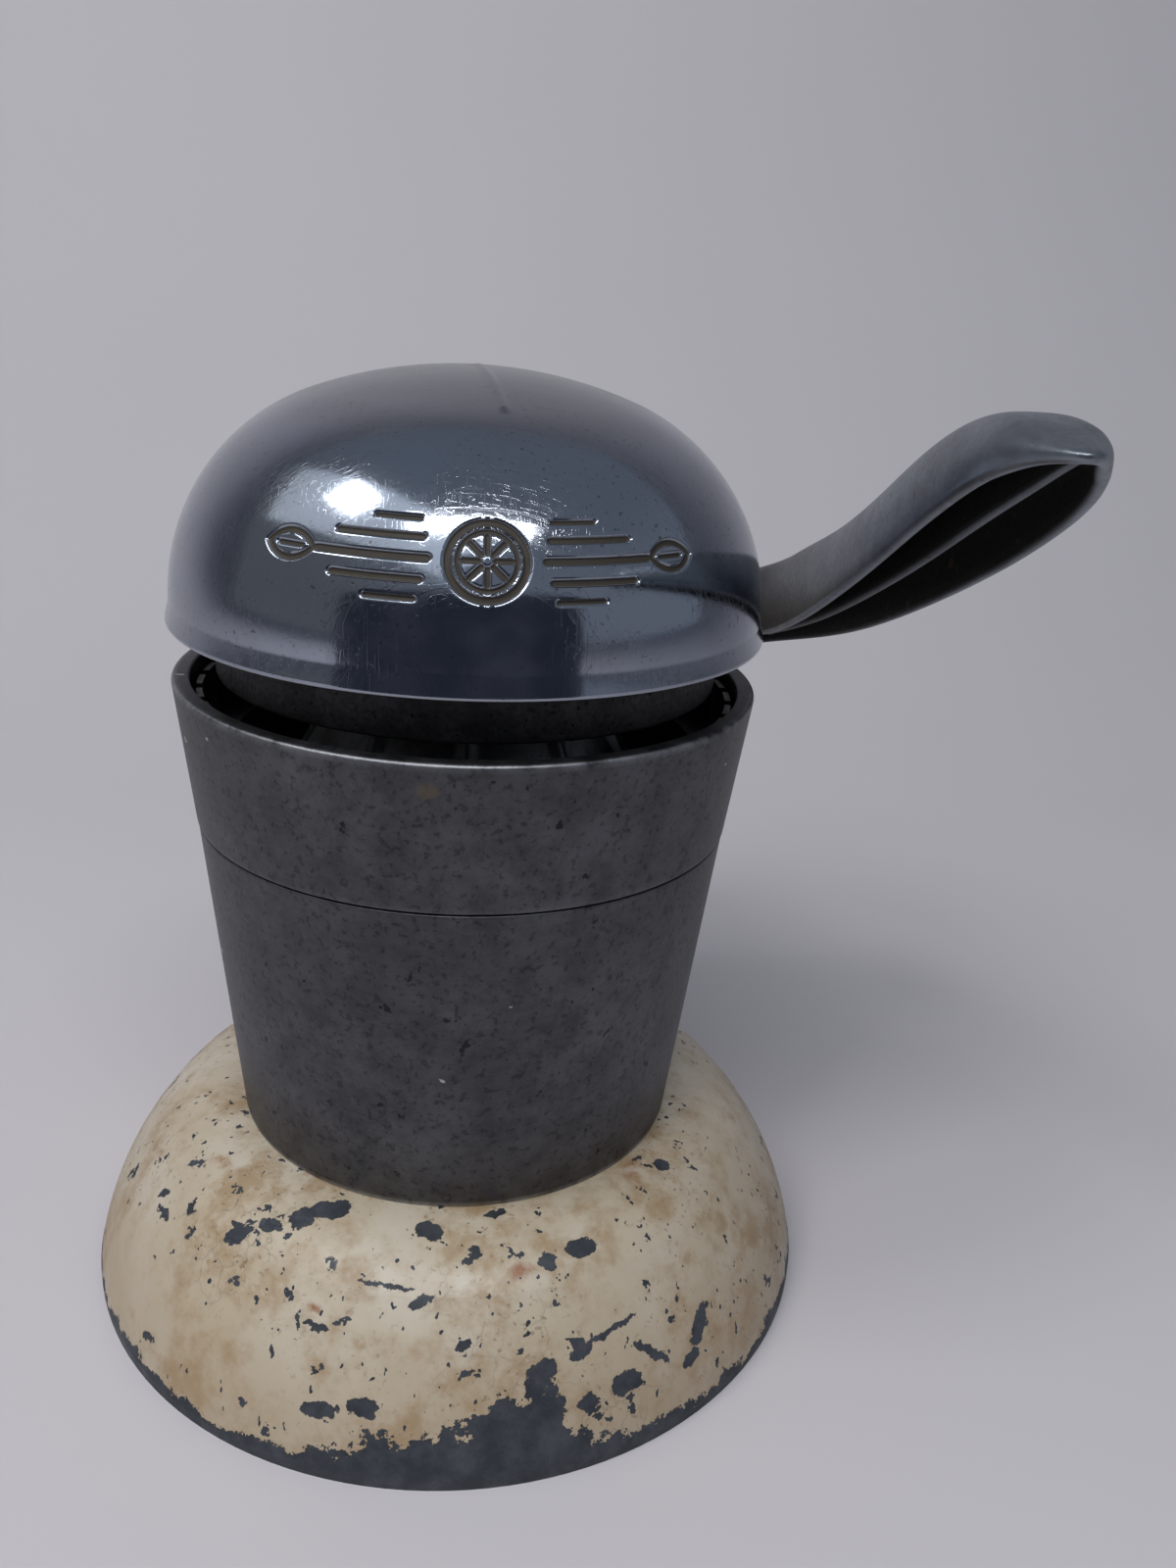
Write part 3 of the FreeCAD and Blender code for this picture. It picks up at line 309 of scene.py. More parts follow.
class Sums:
    """A node tree, written as sums of sockets."""

    def __init__(self, tree: bpy.types.NodeTree, place: str) -> None:
        """Starts on a tree, with one of Texture Coordinate's outputs as the place."""
        self.tree = tree
        self.place = self.node("ShaderNodeTexCoord").outputs[place]

    def node(self, kind: str, **settings: object) -> bpy.types.Node:
        """Adds a node and sets its properties.

        Args:
            kind: the node's type.
            settings: its properties.

        Returns:
            The node.
        """
        made = self.tree.nodes.new(kind)
        for name, value in settings.items():
            setattr(made, name, value)
        return made

    def feed(self, socket: bpy.types.NodeSocket, source: Source | Colour | None) -> None:
        """Links a socket to a source, or sets its own value.

        Args:
            socket: the socket.
            source: what it takes; nothing leaves it as it is.
        """
        if isinstance(source, bpy.types.NodeSocket):
            self.tree.links.new(source, socket)
        elif isinstance(source, tuple) and socket.type == "RGBA":
            socket.default_value = (*source, 1.0)
        elif source is not None:
            socket.default_value = source

    def math(self, kind: str, first: Source, second: Source | None = None,
             third: Source | None = None) -> bpy.types.NodeSocket:
        """One sum of up to three numbers.

        Args:
            kind: the Math node's operation.
            first: the first number.
            second: the second.
            third: the third.

        Returns:
            The result.
        """
        made = self.node("ShaderNodeMath", operation=kind)
        for socket, source in zip(made.inputs, (first, second, third)):
            self.feed(socket, source)
        return made.outputs[0]

    def vector(self, kind: str, first: Source, second: Source | Colour | None = None
               ) -> bpy.types.NodeSocket:
        """One sum of vectors; a length comes out as a number.

        Args:
            kind: the Vector Math node's operation.
            first: the first vector.
            second: the second.

        Returns:
            The result.
        """
        made = self.node("ShaderNodeVectorMath", operation=kind)
        for socket, source in zip(made.inputs, (first, second)):
            self.feed(socket, source)
        return made.outputs["Value" if kind in ("LENGTH", "DOT_PRODUCT") else "Vector"]

    def spread(self, source: Source, low: float, high: float, bottom: float = 0.0,
               top: float = 1.0) -> bpy.types.NodeSocket:
        """Carries low..high to bottom..top by a smooth step.

        Args:
            source: the number.
            low: where the step starts.
            high: where it ends.
            bottom: the result at low.
            top: the result at high.

        Returns:
            The carried number.
        """
        made = self.node("ShaderNodeMapRange", interpolation_type="SMOOTHSTEP")
        for socket, value in zip(made.inputs, (source, low, high, bottom, top)):
            self.feed(socket, value)
        return made.outputs[0]

    def noise(self, scale: float, detail: float = 3.0, rough: float = 0.55,
              place: bpy.types.NodeSocket | None = None, stretch: Colour | None = None,
              turn: Colour = (0.0, 0.0, 0.0), colour: bool = False) -> bpy.types.NodeSocket:
        """Noise on the piece's own coordinates; scale is in cells a metre.

        Args:
            scale: cells a metre.
            detail: how many finer layers there are.
            rough: how strong they are.
            place: the coordinates, if not the tree's own.
            stretch: how much denser the noise is along each axis.
            turn: how the coordinates are turned before that.
            colour: whether three numbers are wanted.

        Returns:
            The noise, from 0 to 1.
        """
        place = place or self.place
        if stretch is not None:
            place = self.mapped(place, (0.0, 0.0, 0.0), turn, stretch, "POINT")
        made = self.node("ShaderNodeTexNoise")
        for name, value in (("Vector", place), ("Scale", scale), ("Detail", detail),
                            ("Roughness", rough)):
            self.feed(made.inputs[name], value)
        return made.outputs["Color" if colour else 0]

    def cells(self, scale: float, feature: str = "F1",
              place: bpy.types.NodeSocket | None = None) -> bpy.types.NodeSocket:
        """The distance from a scatter of points, or from the edges between them.

        Args:
            scale: cells a metre.
            feature: which distance.
            place: the coordinates, if not the tree's own.

        Returns:
            The distance, in cells.
        """
        made = self.node("ShaderNodeTexVoronoi", feature=feature)
        self.feed(made.inputs["Vector"], place or self.place)
        self.feed(made.inputs["Scale"], scale)
        return made.outputs["Distance"]

    def mapped(self, place: bpy.types.NodeSocket, shift: Colour, turn: Colour, scale: Colour,
               kind: str = "TEXTURE") -> bpy.types.NodeSocket:
        """Coordinates moved, turned and scaled.

        Args:
            place: the coordinates.
            shift: the place that becomes the origin, or the shift of a point.
            turn: the angles in radians.
            scale: the size of the new unit, or the stretch of a point.
            kind: TEXTURE or POINT.

        Returns:
            The new coordinates.
        """
        made = self.node("ShaderNodeMapping", vector_type=kind)
        for name, value in (("Vector", place), ("Location", shift), ("Rotation", turn),
                            ("Scale", scale)):
            self.feed(made.inputs[name], value)
        return made.outputs[0]

    def mix(self, share: Source, first: Source | Colour, second: Source | Colour
            ) -> bpy.types.NodeSocket:
        """First at share 0, second at share 1.

        Args:
            share: the share of the second.
            first: the first colour.
            second: the second colour.

        Returns:
            The mixed colour.
        """
        made = self.node("ShaderNodeMix", data_type="RGBA")
        self.feed(made.inputs["Factor"], share)
        self.feed(made.inputs[6], first)
        self.feed(made.inputs[7], second)
        return made.outputs[2]

    def mark(self, name: str) -> bpy.types.NodeSocket:
        """A number marked on the piece's points."""
        return self.node("ShaderNodeAttribute", attribute_name=name).outputs["Fac"]

    def bump(self, height: bpy.types.NodeSocket, distance: float, strength: float = 1.0,
             under: bpy.types.NodeSocket | None = None) -> bpy.types.NodeSocket:
        """A bump of a height from 0 to 1 that stands distance metres proud.

        Args:
            height: the height.
            distance: how far a height of 1 stands proud, in metres.
            strength: the bump's strength.
            under: a bump that it is added to.

        Returns:
            The bent normal.
        """
        made = self.node("ShaderNodeBump")
        for name, value in (("Height", height), ("Distance", distance), ("Strength", strength),
                            ("Normal", under)):
            self.feed(made.inputs[name], value)
        return made.outputs[0]

    def split(self, place: bpy.types.NodeSocket) -> tuple[bpy.types.NodeSocket, ...]:
        """The three parts of a place.

        Args:
            place: the place.

        Returns:
            Its x, y and z.
        """
        made = self.node("ShaderNodeSeparateXYZ")
        self.feed(made.inputs[0], place)
        return tuple(made.outputs)

    def largest(self, sources: Sequence[bpy.types.NodeSocket]) -> bpy.types.NodeSocket:
        """The largest of several numbers."""
        return reduce(lambda first, second: self.math("MAXIMUM", first, second), sources)

    def smallest(self, sources: Sequence[bpy.types.NodeSocket]) -> bpy.types.NodeSocket:
        """The smallest of several numbers."""
        return reduce(lambda first, second: self.math("MINIMUM", first, second), sources)


class Shader(Sums):
    """A material with one Principled shader, on the piece's Object coordinates."""

    def __init__(self, name: str) -> None:
        """Starts a material.

        Args:
            name: its name.
        """
        self.material = bpy.data.materials.new(name)
        self.material.use_nodes = True
        super().__init__(self.material.node_tree, "Object")
        self.shader = self.tree.nodes["Principled BSDF"]

    def finish(self, **sockets: Source | Colour) -> bpy.types.Material:
        """Feeds the Principled shader's sockets, named with _ for a space.

        Args:
            sockets: what each socket takes.

        Returns:
            The material.
        """
        for name, source in sockets.items():
            self.feed(self.shader.inputs[name.replace("_", " ")], source)
        return self.material


@dataclass(frozen=True)
class AgedMetal:
    """Bare metal that has dulled unevenly: two tones of cloud, dark specks and a fine grain."""

    name: str
    light: Colour
    dark: Colour
    roughness: float
    cloud_scale: float = 60.0
    speck_scale: float = 900.0
    speck_share: float = 0.36
    grain: float = 0.00004

    def material(self) -> bpy.types.Material:
        """Builds the material.

        Returns:
            The material.
        """
        shader = Shader(self.name)
        cloud = shader.noise(self.cloud_scale, 6, 0.65)
        fine = shader.noise(self.cloud_scale * 12, 3)
        speck = shader.spread(shader.cells(self.speck_scale), self.speck_share * 0.55,
                              self.speck_share * 0.25)
        cover = shader.spread(shader.noise(self.cloud_scale * 3, 2), 0.42, 0.62)
        tone = shader.mix(shader.spread(cloud, 0.33, 0.68), self.dark, self.light)
        tone = shader.mix(shader.math("MULTIPLY", shader.spread(fine, 0.45, 0.75), 0.35), tone,
                          self.dark)
        dots = shader.math("MULTIPLY", speck, cover)
        tone = shader.mix(shader.math("MULTIPLY", dots, 0.75), tone,
                          tuple(0.35 * part for part in self.dark))
        rough = shader.math("ADD", shader.spread(fine, 0.3, 0.8, 0.0, 0.16),
                            shader.spread(cloud, 0.3, 0.7, self.roughness,
                                          self.roughness + 0.12))
        height = shader.math("ADD", fine, shader.math("MULTIPLY", dots, -0.8))
        return shader.finish(Base_Color=tone, Metallic=1.0, Roughness=rough,
                             Normal=shader.bump(height, self.grain))


@dataclass(frozen=True)
class DullAluminium:
    """Turned aluminium gone dark: clouds, black specks in drifts, pale nicks, a warm stain, and
    lighter edges that are part rubbed metal and part painted highlight.
    """

    name: str = "dull_turned_aluminium"
    light: Colour = (0.138, 0.140, 0.153)
    dark: Colour = (0.070, 0.070, 0.077)
    speck: Colour = (0.018, 0.018, 0.020)
    nick: Colour = (0.50, 0.50, 0.50)
    stain: Colour = (0.26, 0.19, 0.10)
    rubbed_edge_and_highlight: Colour = (0.42, 0.43, 0.45)
    roughness: float = 0.36
    grain: float = 0.00004
    stain_place: Colour = (-0.0055, -0.0575, 0.1300)
    stain_half: Colour = (0.0012, 0.0060, 0.0010)

    def material(self) -> bpy.types.Material:
        """Builds the material.

        Returns:
            The material.
        """
        shader = Shader(self.name)
        drift = shader.noise(22, 4, 0.6)
        cloud = shader.noise(130, 6, 0.7)
        fine = shader.noise(1100, 3, 0.6)
        brush = shader.noise(500, 3, 0.6, stretch=(0.35, 0.35, 2.4))
        tone = shader.mix(shader.spread(cloud, 0.30, 0.70), self.dark, self.light)
        tone = shader.mix(shader.math("MULTIPLY", shader.spread(drift, 0.35, 0.7), 0.45), tone,
                          self.dark)
        tone = shader.mix(shader.math("MULTIPLY", shader.spread(brush, 0.5, 0.8), 0.3), tone,
                          self.light)
        flecks = shader.spread(shader.noise(700, 4, 0.65), 0.545, 0.625)
        spots = shader.spread(shader.noise(260, 3, 0.6, stretch=(1.0, 1.0, 0.8)), 0.66, 0.71)
        black = shader.math("MAXIMUM", shader.math("MULTIPLY", flecks, 0.42),
                            shader.math("MULTIPLY", spots, 0.8))
        tone = shader.mix(black, tone, self.speck)
        pale = shader.spread(shader.noise(190, 2, 0.5, stretch=(1.0, 1.0, 1.7)), 0.755, 0.775)
        tone = shader.mix(pale, tone, self.nick)
        shift = shader.mapped(shader.place, self.stain_place, (0.0, 0.0, 0.0), self.stain_half)
        wobble = shader.vector("MULTIPLY_ADD", shader.noise(700, 3, colour=True), (1.6,) * 3)
        stain = shader.spread(shader.vector("LENGTH", shader.vector("ADD", shift, wobble)),
                              2.1, 1.3)
        tone = shader.mix(shader.math("MULTIPLY", stain, 0.35), tone, self.stain)
        # Painted edge highlight: the marked edges take a lighter tone, part rubbed metal and part
        # painted highlight.
        edge = shader.math("MULTIPLY", shader.mark("edge"), shader.spread(cloud, 0.30, 0.60))
        tone = shader.mix(shader.math("MULTIPLY", edge, 0.8), tone, self.rubbed_edge_and_highlight)
        rough = shader.math("MULTIPLY_ADD", fine, 0.16,
                            shader.spread(cloud, 0.3, 0.7, self.roughness,
                                          self.roughness + 0.09))
        height = shader.math("MULTIPLY_ADD", black, -0.5, fine)
        return shader.finish(Base_Color=tone, Metallic=1.0, Roughness=rough,
                             Normal=shader.bump(height, self.grain))


@dataclass(frozen=True)
class PolishedDome:
    """Polished cast aluminium, hazy towards the crown, with hairline scratches, pits, and dirt
    in its engraving."""

    name: str = "polished_cast_aluminium"
    bright: Colour = (0.330, 0.365, 0.430)
    haze: Colour = (0.280, 0.290, 0.315)
    dirt: Colour = (0.030, 0.024, 0.017)
    pitted: Colour = (0.10, 0.10, 0.11)
    crown_low: float = 0.1855
    crown_high: float = 0.196
    hairlines: tuple[tuple[float, Colour, Colour], ...] = (
        (420, (1.0, 6.0, 0.10), (0.3, 0.5, 0.2)), (380, (0.12, 5.0, 1.2), (0.2, 0.9, 0.4)),
        (520, (6.0, 1.0, 0.09), (0.9, -0.6, 0.8)), (300, (0.10, 4.0, 2.0), (0.5, -0.8, 0.1)))

    def material(self) -> bpy.types.Material:
        """Builds the material.

        Returns:
            The material.
        """
        shader = Shader(self.name)
        height = shader.split(shader.place)[2]
        cloud = shader.noise(38, 5, 0.6)
        grain = shader.noise(1500, 3, 0.7)
        crown = shader.spread(shader.math("MULTIPLY_ADD", cloud, 0.012, height),
                              self.crown_low, self.crown_high)
        pits = shader.spread(shader.noise(1100, 3, 0.6), 0.61, 0.69)
        patch = shader.spread(cloud, 0.40, 0.62)
        pits = shader.math("MULTIPLY", pits, shader.math("MULTIPLY_ADD", patch, 0.6, 0.15))
        tone = shader.mix(shader.math("MAXIMUM", crown, shader.math("MULTIPLY", patch, 0.35)),
                          self.bright, self.haze)
        tone = shader.mix(shader.math("MULTIPLY", grain, 0.25), tone, self.haze)
        tone = shader.mix(pits, tone, self.pitted)
        groove = shader.spread(shader.mark("groove"), 0.30, 0.75)
        tone = shader.mix(groove, tone, self.dirt)
        lines = shader.largest([
            shader.spread(shader.noise(scale, 1, 0.4, stretch=stretch, turn=turn), 0.60, 0.64)
            for scale, stretch, turn in self.hairlines])
        lines = shader.math("MULTIPLY", lines, shader.spread(cloud, 0.40, 0.60, 0.15, 0.6))
        rough = shader.math("ADD", shader.spread(crown, 0, 1, 0.075, 0.17),
                            shader.math("MULTIPLY", grain, 0.07))
        rough = shader.math("MULTIPLY_ADD", lines, 0.10, rough)
        rough = shader.math("MULTIPLY_ADD", groove, 0.5, rough)
        relief = shader.math("MULTIPLY_ADD", pits, -0.6, shader.math(
            "MULTIPLY_ADD", lines, -0.30, shader.math("MULTIPLY", grain, 0.16)))
        wave = shader.bump(shader.noise(16, 2, 0.4), 0.0007)
        return shader.finish(
            Base_Color=tone, Metallic=shader.math("SUBTRACT", 1.0, groove), Roughness=rough,
            Normal=shader.bump(relief, 0.00003, under=wave))


@dataclass(frozen=True)
class LeverCast:
    """Satin cast aluminium outside, darkened towards its root by painted shade, and painted near
    black as shade in the hollow, with brown specks."""

    name: str = "satin_cast_aluminium"
    light: Colour = (0.285, 0.312, 0.352)
    dark: Colour = (0.165, 0.180, 0.204)
    # Painted shade: the near-black colour of the lever's hollow.
    hollow: Colour = (0.012, 0.011, 0.010)
    # Painted shade: the darker tone towards the lever's root.
    root: Colour = (0.075, 0.078, 0.084)
    mark: Colour = (0.10, 0.09, 0.08)
    brown: Colour = (0.10, 0.065, 0.04)

    def material(self) -> bpy.types.Material:
        """Builds the material.

        Returns:
            The material.
        """
        shader = Shader(self.name)
        cloud = shader.noise(55, 5, 0.65)
        fine = shader.noise(900, 4, 0.6)
        brush = shader.noise(300, 4, 0.6, stretch=(2.5, 0.25, 2.5), turn=(-0.45, 0.0, 0.0))
        tone = shader.mix(shader.spread(cloud, 0.3, 0.7), self.dark, self.light)
        tone = shader.mix(shader.math("MULTIPLY", shader.spread(brush, 0.45, 0.75), 0.4), tone,
                          self.dark)
        marks = shader.spread(shader.noise(160, 3, 0.6), 0.66, 0.70)
        tone = shader.mix(shader.math("MULTIPLY", marks, 0.5), tone, self.mark)
        # Painted shade: the lever darkens towards its root at the back, near the hub and the head.
        back = shader.split(shader.place)[1]
        tone = shader.mix(shader.spread(back, -0.04, 0.050, 0.0, 0.92), tone, self.root)
        # Painted shade: the hollow is painted near black with brown specks, and is made less
        # metallic and rougher.
        inner = shader.mark("hollow")
        specks = shader.spread(shader.noise(520, 3, 0.6), 0.64, 0.70)
        hollow_shade_and_specks = shader.mix(shader.math("MULTIPLY", specks, 0.6), self.hollow, self.brown)
        tone = shader.mix(inner, tone, hollow_shade_and_specks)
        rough = shader.math("ADD", shader.spread(fine, 0.3, 0.8, 0.36, 0.50),
                            shader.math("MULTIPLY", inner, 0.25))
        relief = shader.math("MULTIPLY_ADD", brush, 0.5, fine)
        return shader.finish(Base_Color=tone,
                             Metallic=shader.math("MULTIPLY_ADD", inner, -0.7, 1.0),
                             Roughness=rough, Normal=shader.bump(relief, 0.00005))


@dataclass(frozen=True)
class Chip:
    """A flake lost from the enamel: where it is, how long and wide it is, and how it leans."""

    azimuth: float
    height: float
    length: float
    width: float
    lean: float = 0.0


@dataclass(frozen=True)
class ChippedEnamel:
    """Cream enamel with brown stains and crazing, flaked through to a slate-grey casting, and
    worn bare at the rim, most of all at the front."""

    name: str = "chipped_cream_enamel"
    cream: Colour = (0.430, 0.365, 0.272)
    pale: Colour = (0.485, 0.435, 0.355)
    tan: Colour = (0.290, 0.200, 0.108)
    casting: Colour = (0.042, 0.048, 0.058)
    casting_light: Colour = (0.082, 0.090, 0.104)
    rust: Colour = (0.230, 0.085, 0.030)
    mote: Colour = (0.17, 0.10, 0.05)
    crack: Colour = (0.16, 0.11, 0.07)
    girth: float = 66.0
    tear: float = 0.0042
    chip_depth: float = 0.00022
    bare_underside: bool = True
    outline: tuple[tuple[float, float], ...] = (
        (80.0, 0.0), (80.0, 2.0), (65.0, 31.0), (47.5, 37.6), (0.0, 37.6))
    rim_wear: float = 0.0034
    swells: tuple[tuple[float, float, float], ...] = ((2, 18, 7.5), (11, 6, 6.0))
    chips: tuple[Chip, ...] = (
        Chip(-27, 36.1, 8.5, 4.4, 0.35), Chip(-31, 35.0, 5.5, 4.6, 0.8),
        Chip(-41, 31.6, 6.5, 2.8, 1.0), Chip(-36, 33.6, 5.0, 3.6, 0.5),
        Chip(-5, 35.9, 6.0, 4.4, -0.3), Chip(9, 36.9, 5.2, 1.8, 0.1),
        Chip(24, 33.4, 6.0, 4.2, 0.1), Chip(17, 33.0, 3.0, 4.2, 0.2),
        Chip(52, 35.7, 3.6, 3.6), Chip(-11, 31.6, 9.5, 0.9, -0.05),
        Chip(-5, 30.4, 4.4, 2.0, 0.5), Chip(-21, 25.2, 4.4, 1.6, 0.0),
        Chip(24, 22.6, 12.0, 1.3, 0.28), Chip(20, 21.0, 4.0, 3.0, 0.5),
        Chip(31, 16.6, 9.5, 1.7, -0.95), Chip(41, 16.2, 8.5, 3.0, 1.1),
        Chip(38, 11.8, 4.0, 2.6, 0.6), Chip(26, 13.6, 5.4, 4.6, 0.7),
        Chip(20, 12.4, 3.6, 3.8), Chip(13, 18.6, 8.0, 4.0, 1.2),
        Chip(-18, 12.8, 5.4, 3.2, 0.3), Chip(-12, 14.4, 4.4, 3.8),
        Chip(-63, 28.0, 4.2, 1.4, 1.1), Chip(-50, 9.0, 3.4, 2.0, 0.4),
    )
    rust_spots: tuple[Chip, ...] = (
        Chip(-57, 34.8, 6.0, 3.4, 0.4), Chip(12, 32.6, 5.5, 3.8, 0.0),
        Chip(-22, 27.6, 2.6, 2.2, 0.0), Chip(46, 36.6, 8.0, 5.0, 0.3))

    def nearest(self, shader: Shader, place: bpy.types.NodeSocket, flakes: Sequence[Chip]
                ) -> bpy.types.NodeSocket:
        """The least distance from the flakes, in each flake's own half lengths.

        Args:
            shader: the material being built.
            place: coordinates over the bell, around and up, in metres.
            flakes: the flakes.

        Returns:
            A number under 1 within a flake.
        """
        distances = []
        for flake in flakes:
            radius = BellBase.radius_at(flake.height)
            shift = (math.radians(flake.azimuth) * self.girth * MM,
                     (flake.height - radius) * MM, 0.0)
            own = shader.mapped(place, shift, (0.0, 0.0, flake.lean),
                                (flake.length / 2 * MM, flake.width / 2 * MM, 1.0))
            distances.append(shader.vector("LENGTH", own))
        return shader.smallest(distances)

    def flaked(self, shader: Shader, torn: bpy.types.NodeSocket, drift: bpy.types.NodeSocket
               ) -> bpy.types.NodeSocket:
        """Bare metal in the placed flakes, and in small ones that come in drifts.

        Args:
            shader: the material being built.
            torn: coordinates over the bell with a ragged shift.
            drift: broad noise.

        Returns:
            1 where the enamel is gone.
        """
        big = shader.spread(self.nearest(shader, torn, self.chips), 1.22, 1.14)
        patches = shader.spread(shader.noise(165, 4, 0.60), 0.640, 0.647)
        flecks = shader.spread(shader.noise(520, 2, 0.5, stretch=(1.0, 1.0, 0.55)), 0.685, 0.697)
        small = shader.math(
            "MAXIMUM", shader.math("MULTIPLY", patches, shader.spread(drift, 0.40, 0.56)),
            shader.math("MULTIPLY", flecks, shader.spread(drift, 0.38, 0.5)))
        return shader.math("MAXIMUM", big, shader.spread(small, 0.45, 0.55))

    def rubbed_rim(self, shader: Shader, azimuth: bpy.types.NodeSocket,
                   z: bpy.types.NodeSocket) -> bpy.types.NodeSocket:
        """Bare metal below a wandering line round the rim, which swells up at the front: the line
        is rim_wear plus, for each swell, tall exp(-t^4), t the azimuth from the swell's middle in
        units of its width.

        Args:
            shader: the material being built.
            azimuth: the azimuth in radians.
            z: the height in metres.

        Returns:
            1 where the enamel is gone.
        """
        line = self.rim_wear
        for middle, wide, tall in self.swells:
            away = shader.math("DIVIDE", shader.math("SUBTRACT", azimuth, math.radians(middle)),
                               math.radians(wide))
            fall = shader.math("EXPONENT", shader.math(
                "MULTIPLY", shader.math("POWER", shader.math("ABSOLUTE", away), 4.0), -1.0))
            line = shader.math("MULTIPLY_ADD", fall, tall * MM, line)
        wander = shader.math("MULTIPLY_ADD", shader.noise(120, 5, 0.75), 0.0240, -0.0120)
        wander = shader.math("MULTIPLY", wander, shader.math("MULTIPLY_ADD", line, 80.0, 0.30))
        over = shader.math("SUBTRACT", shader.math("ADD", line, wander), z)
        return shader.spread(over, -0.00012, 0.00012)

    def underside(self, shader: Shader, across: bpy.types.NodeSocket, z: bpy.types.NodeSocket
                  ) -> bpy.types.NodeSocket:
        """Bare metal inside the bell: the depth under a straight line of the bell's outline is
        (place - line's start) . line's inward normal, the outer face has none under one of the
        lines, and the inner face has more than half a millimetre under all of them.

        Args:
            shader: the material being built.
            across: the distance from the axis in metres.
            z: the height in metres.

        Returns:
            1 inside.
        """
        depths = []
        for start, end in zip(self.outline[:-1], self.outline[1:]):
            along = Vector((end[0] - start[0], end[1] - start[1])).normalized()
            inwards = Vector((-along.y, along.x))
            start_depth = inwards.dot(Vector(start)) * MM
            depth = shader.math("MULTIPLY_ADD", across, inwards.x, -start_depth)
            depths.append(shader.math("MULTIPLY_ADD", z, inwards.y, depth))
        return shader.spread(shader.smallest(depths), 0.00035, 0.00075)

    def glaze(self, shader: Shader, z: bpy.types.NodeSocket, torn: bpy.types.NodeSocket,
              drift: bpy.types.NodeSocket, mottle: bpy.types.NodeSocket,
              crazed: bpy.types.NodeSocket) -> bpy.types.NodeSocket:
        """The enamel's colour: cream and paler cream, brown stains, motes, a tan foot, rust about
        some flakes, and fine cracks.

        Args:
            shader: the material being built.
            z: the height in metres.
            torn: coordinates over the bell with a ragged shift.
            drift: broad noise.
            mottle: fine noise.
            crazed: 1 in a crack.

        Returns:
            The colour.
        """
        blotch = shader.noise(30, 5, 0.62)
        tone = shader.mix(shader.spread(blotch, 0.36, 0.60), self.pale, self.cream)
        brown = shader.math("MULTIPLY", shader.spread(shader.noise(46, 5, 0.7), 0.40, 0.62),
                            shader.spread(mottle, 0.36, 0.60))
        tone = shader.mix(shader.math("MULTIPLY", brown, 0.9), tone, self.tan)
        motes = shader.math("MULTIPLY", shader.spread(shader.noise(760, 3, 0.6), 0.60, 0.68),
                            shader.spread(drift, 0.40, 0.60))
        tone = shader.mix(shader.math("MULTIPLY", motes, 0.55), tone, self.mote)
        tone = shader.mix(shader.spread(z, 0.032, 0.008, 0.0, 0.42), tone, self.tan)
        halo = shader.spread(self.nearest(shader, torn, self.rust_spots), 1.5, 0.2)
        tone = shader.mix(shader.math("MULTIPLY", halo, shader.spread(mottle, 0.35, 0.6)), tone,
                          self.rust)
        return shader.mix(shader.math("MULTIPLY", crazed, 0.16), tone, self.crack)

    def material(self) -> bpy.types.Material:
        """Builds the material.

        Returns:
            The material.
        """
        shader = Shader(self.name)
        x, y, z = shader.split(shader.place)
        azimuth = shader.math("ARCTAN2", x, shader.math("MULTIPLY", y, -1.0))
        across = shader.math("SQRT", shader.math("ADD", shader.math("MULTIPLY", x, x),
                                                 shader.math("MULTIPLY", y, y)))
        bell = shader.node("ShaderNodeCombineXYZ")
        shader.feed(bell.inputs[0], shader.math("MULTIPLY", azimuth, self.girth * MM))
        shader.feed(bell.inputs[1], shader.math("SUBTRACT", z, across))
        ragged = shader.vector("SUBTRACT", shader.noise(420, 4, 0.65, colour=True), (0.5,) * 3)
        ragged = shader.vector("MULTIPLY", ragged, (self.tear,) * 3)
        torn = shader.vector("ADD", bell.outputs[0],
                             shader.vector("MULTIPLY", ragged, (1.0, 1.0, 0.0)))
        drift = shader.noise(38, 3, 0.5)
        bare = shader.math("MAXIMUM", self.flaked(shader, torn, drift),
                           self.rubbed_rim(shader, azimuth, z))
        if self.bare_underside:
            bare = shader.math("MAXIMUM", bare, self.underside(shader, across, z))
        mottle = shader.noise(110, 5, 0.65)
        cracks = shader.spread(shader.cells(170, "DISTANCE_TO_EDGE", shader.vector(
            "ADD", shader.place, ragged)), 0.030, 0.008)
        crazed = shader.math("MULTIPLY", cracks, shader.spread(shader.noise(34, 2), 0.54, 0.68))
        metal = shader.mix(shader.spread(shader.noise(150, 5, 0.7), 0.35, 0.7), self.casting,
                           self.casting_light)
        tone = shader.mix(bare, self.glaze(shader, z, torn, drift, mottle, crazed), metal)
        rough = shader.math("ADD", shader.spread(mottle, 0.3, 0.7, 0.36, 0.50),
                            shader.math("MULTIPLY", bare, 0.14))
        relief = shader.math("MULTIPLY_ADD", bare, -1.0, shader.math(
            "MULTIPLY_ADD", mottle, 0.10, shader.math("MULTIPLY", crazed, -0.3)))
        return shader.finish(Base_Color=tone, Roughness=rough, Specular_IOR_Level=0.5,
                             Metallic=shader.math("MULTIPLY", bare, 0.55),
                             Normal=shader.bump(relief, self.chip_depth))


# ---------------------------------------------------------------- sub-assemblies

@dataclass
class BellBase:
    """The enamelled bell. Its casting is the CAD node's own; this dresses it."""

    finish: ChippedEnamel = ChippedEnamel()

    @staticmethod
    def radius_at(height: float) -> float:
        """The bell's outer radius at a height, read along its flank and shoulder arcs.

        Args:
            height: the height.

        Returns:
            The radius.
        """
        heights = np.array([0, 2, 8, 12, 16, 20, 24, 28, 31, 34, 36, 37.6])
        radii = np.array([80, 80, 78.8, 77.2, 75.2, 73, 71.2, 67.9, 65, 58.5, 52.5, 47.5])
        return float(np.interp(height, heights, radii))

    def dress(self) -> None:
        """Gives the CAD node its enamel."""
        dress_node("base_bell", self.finish.material())


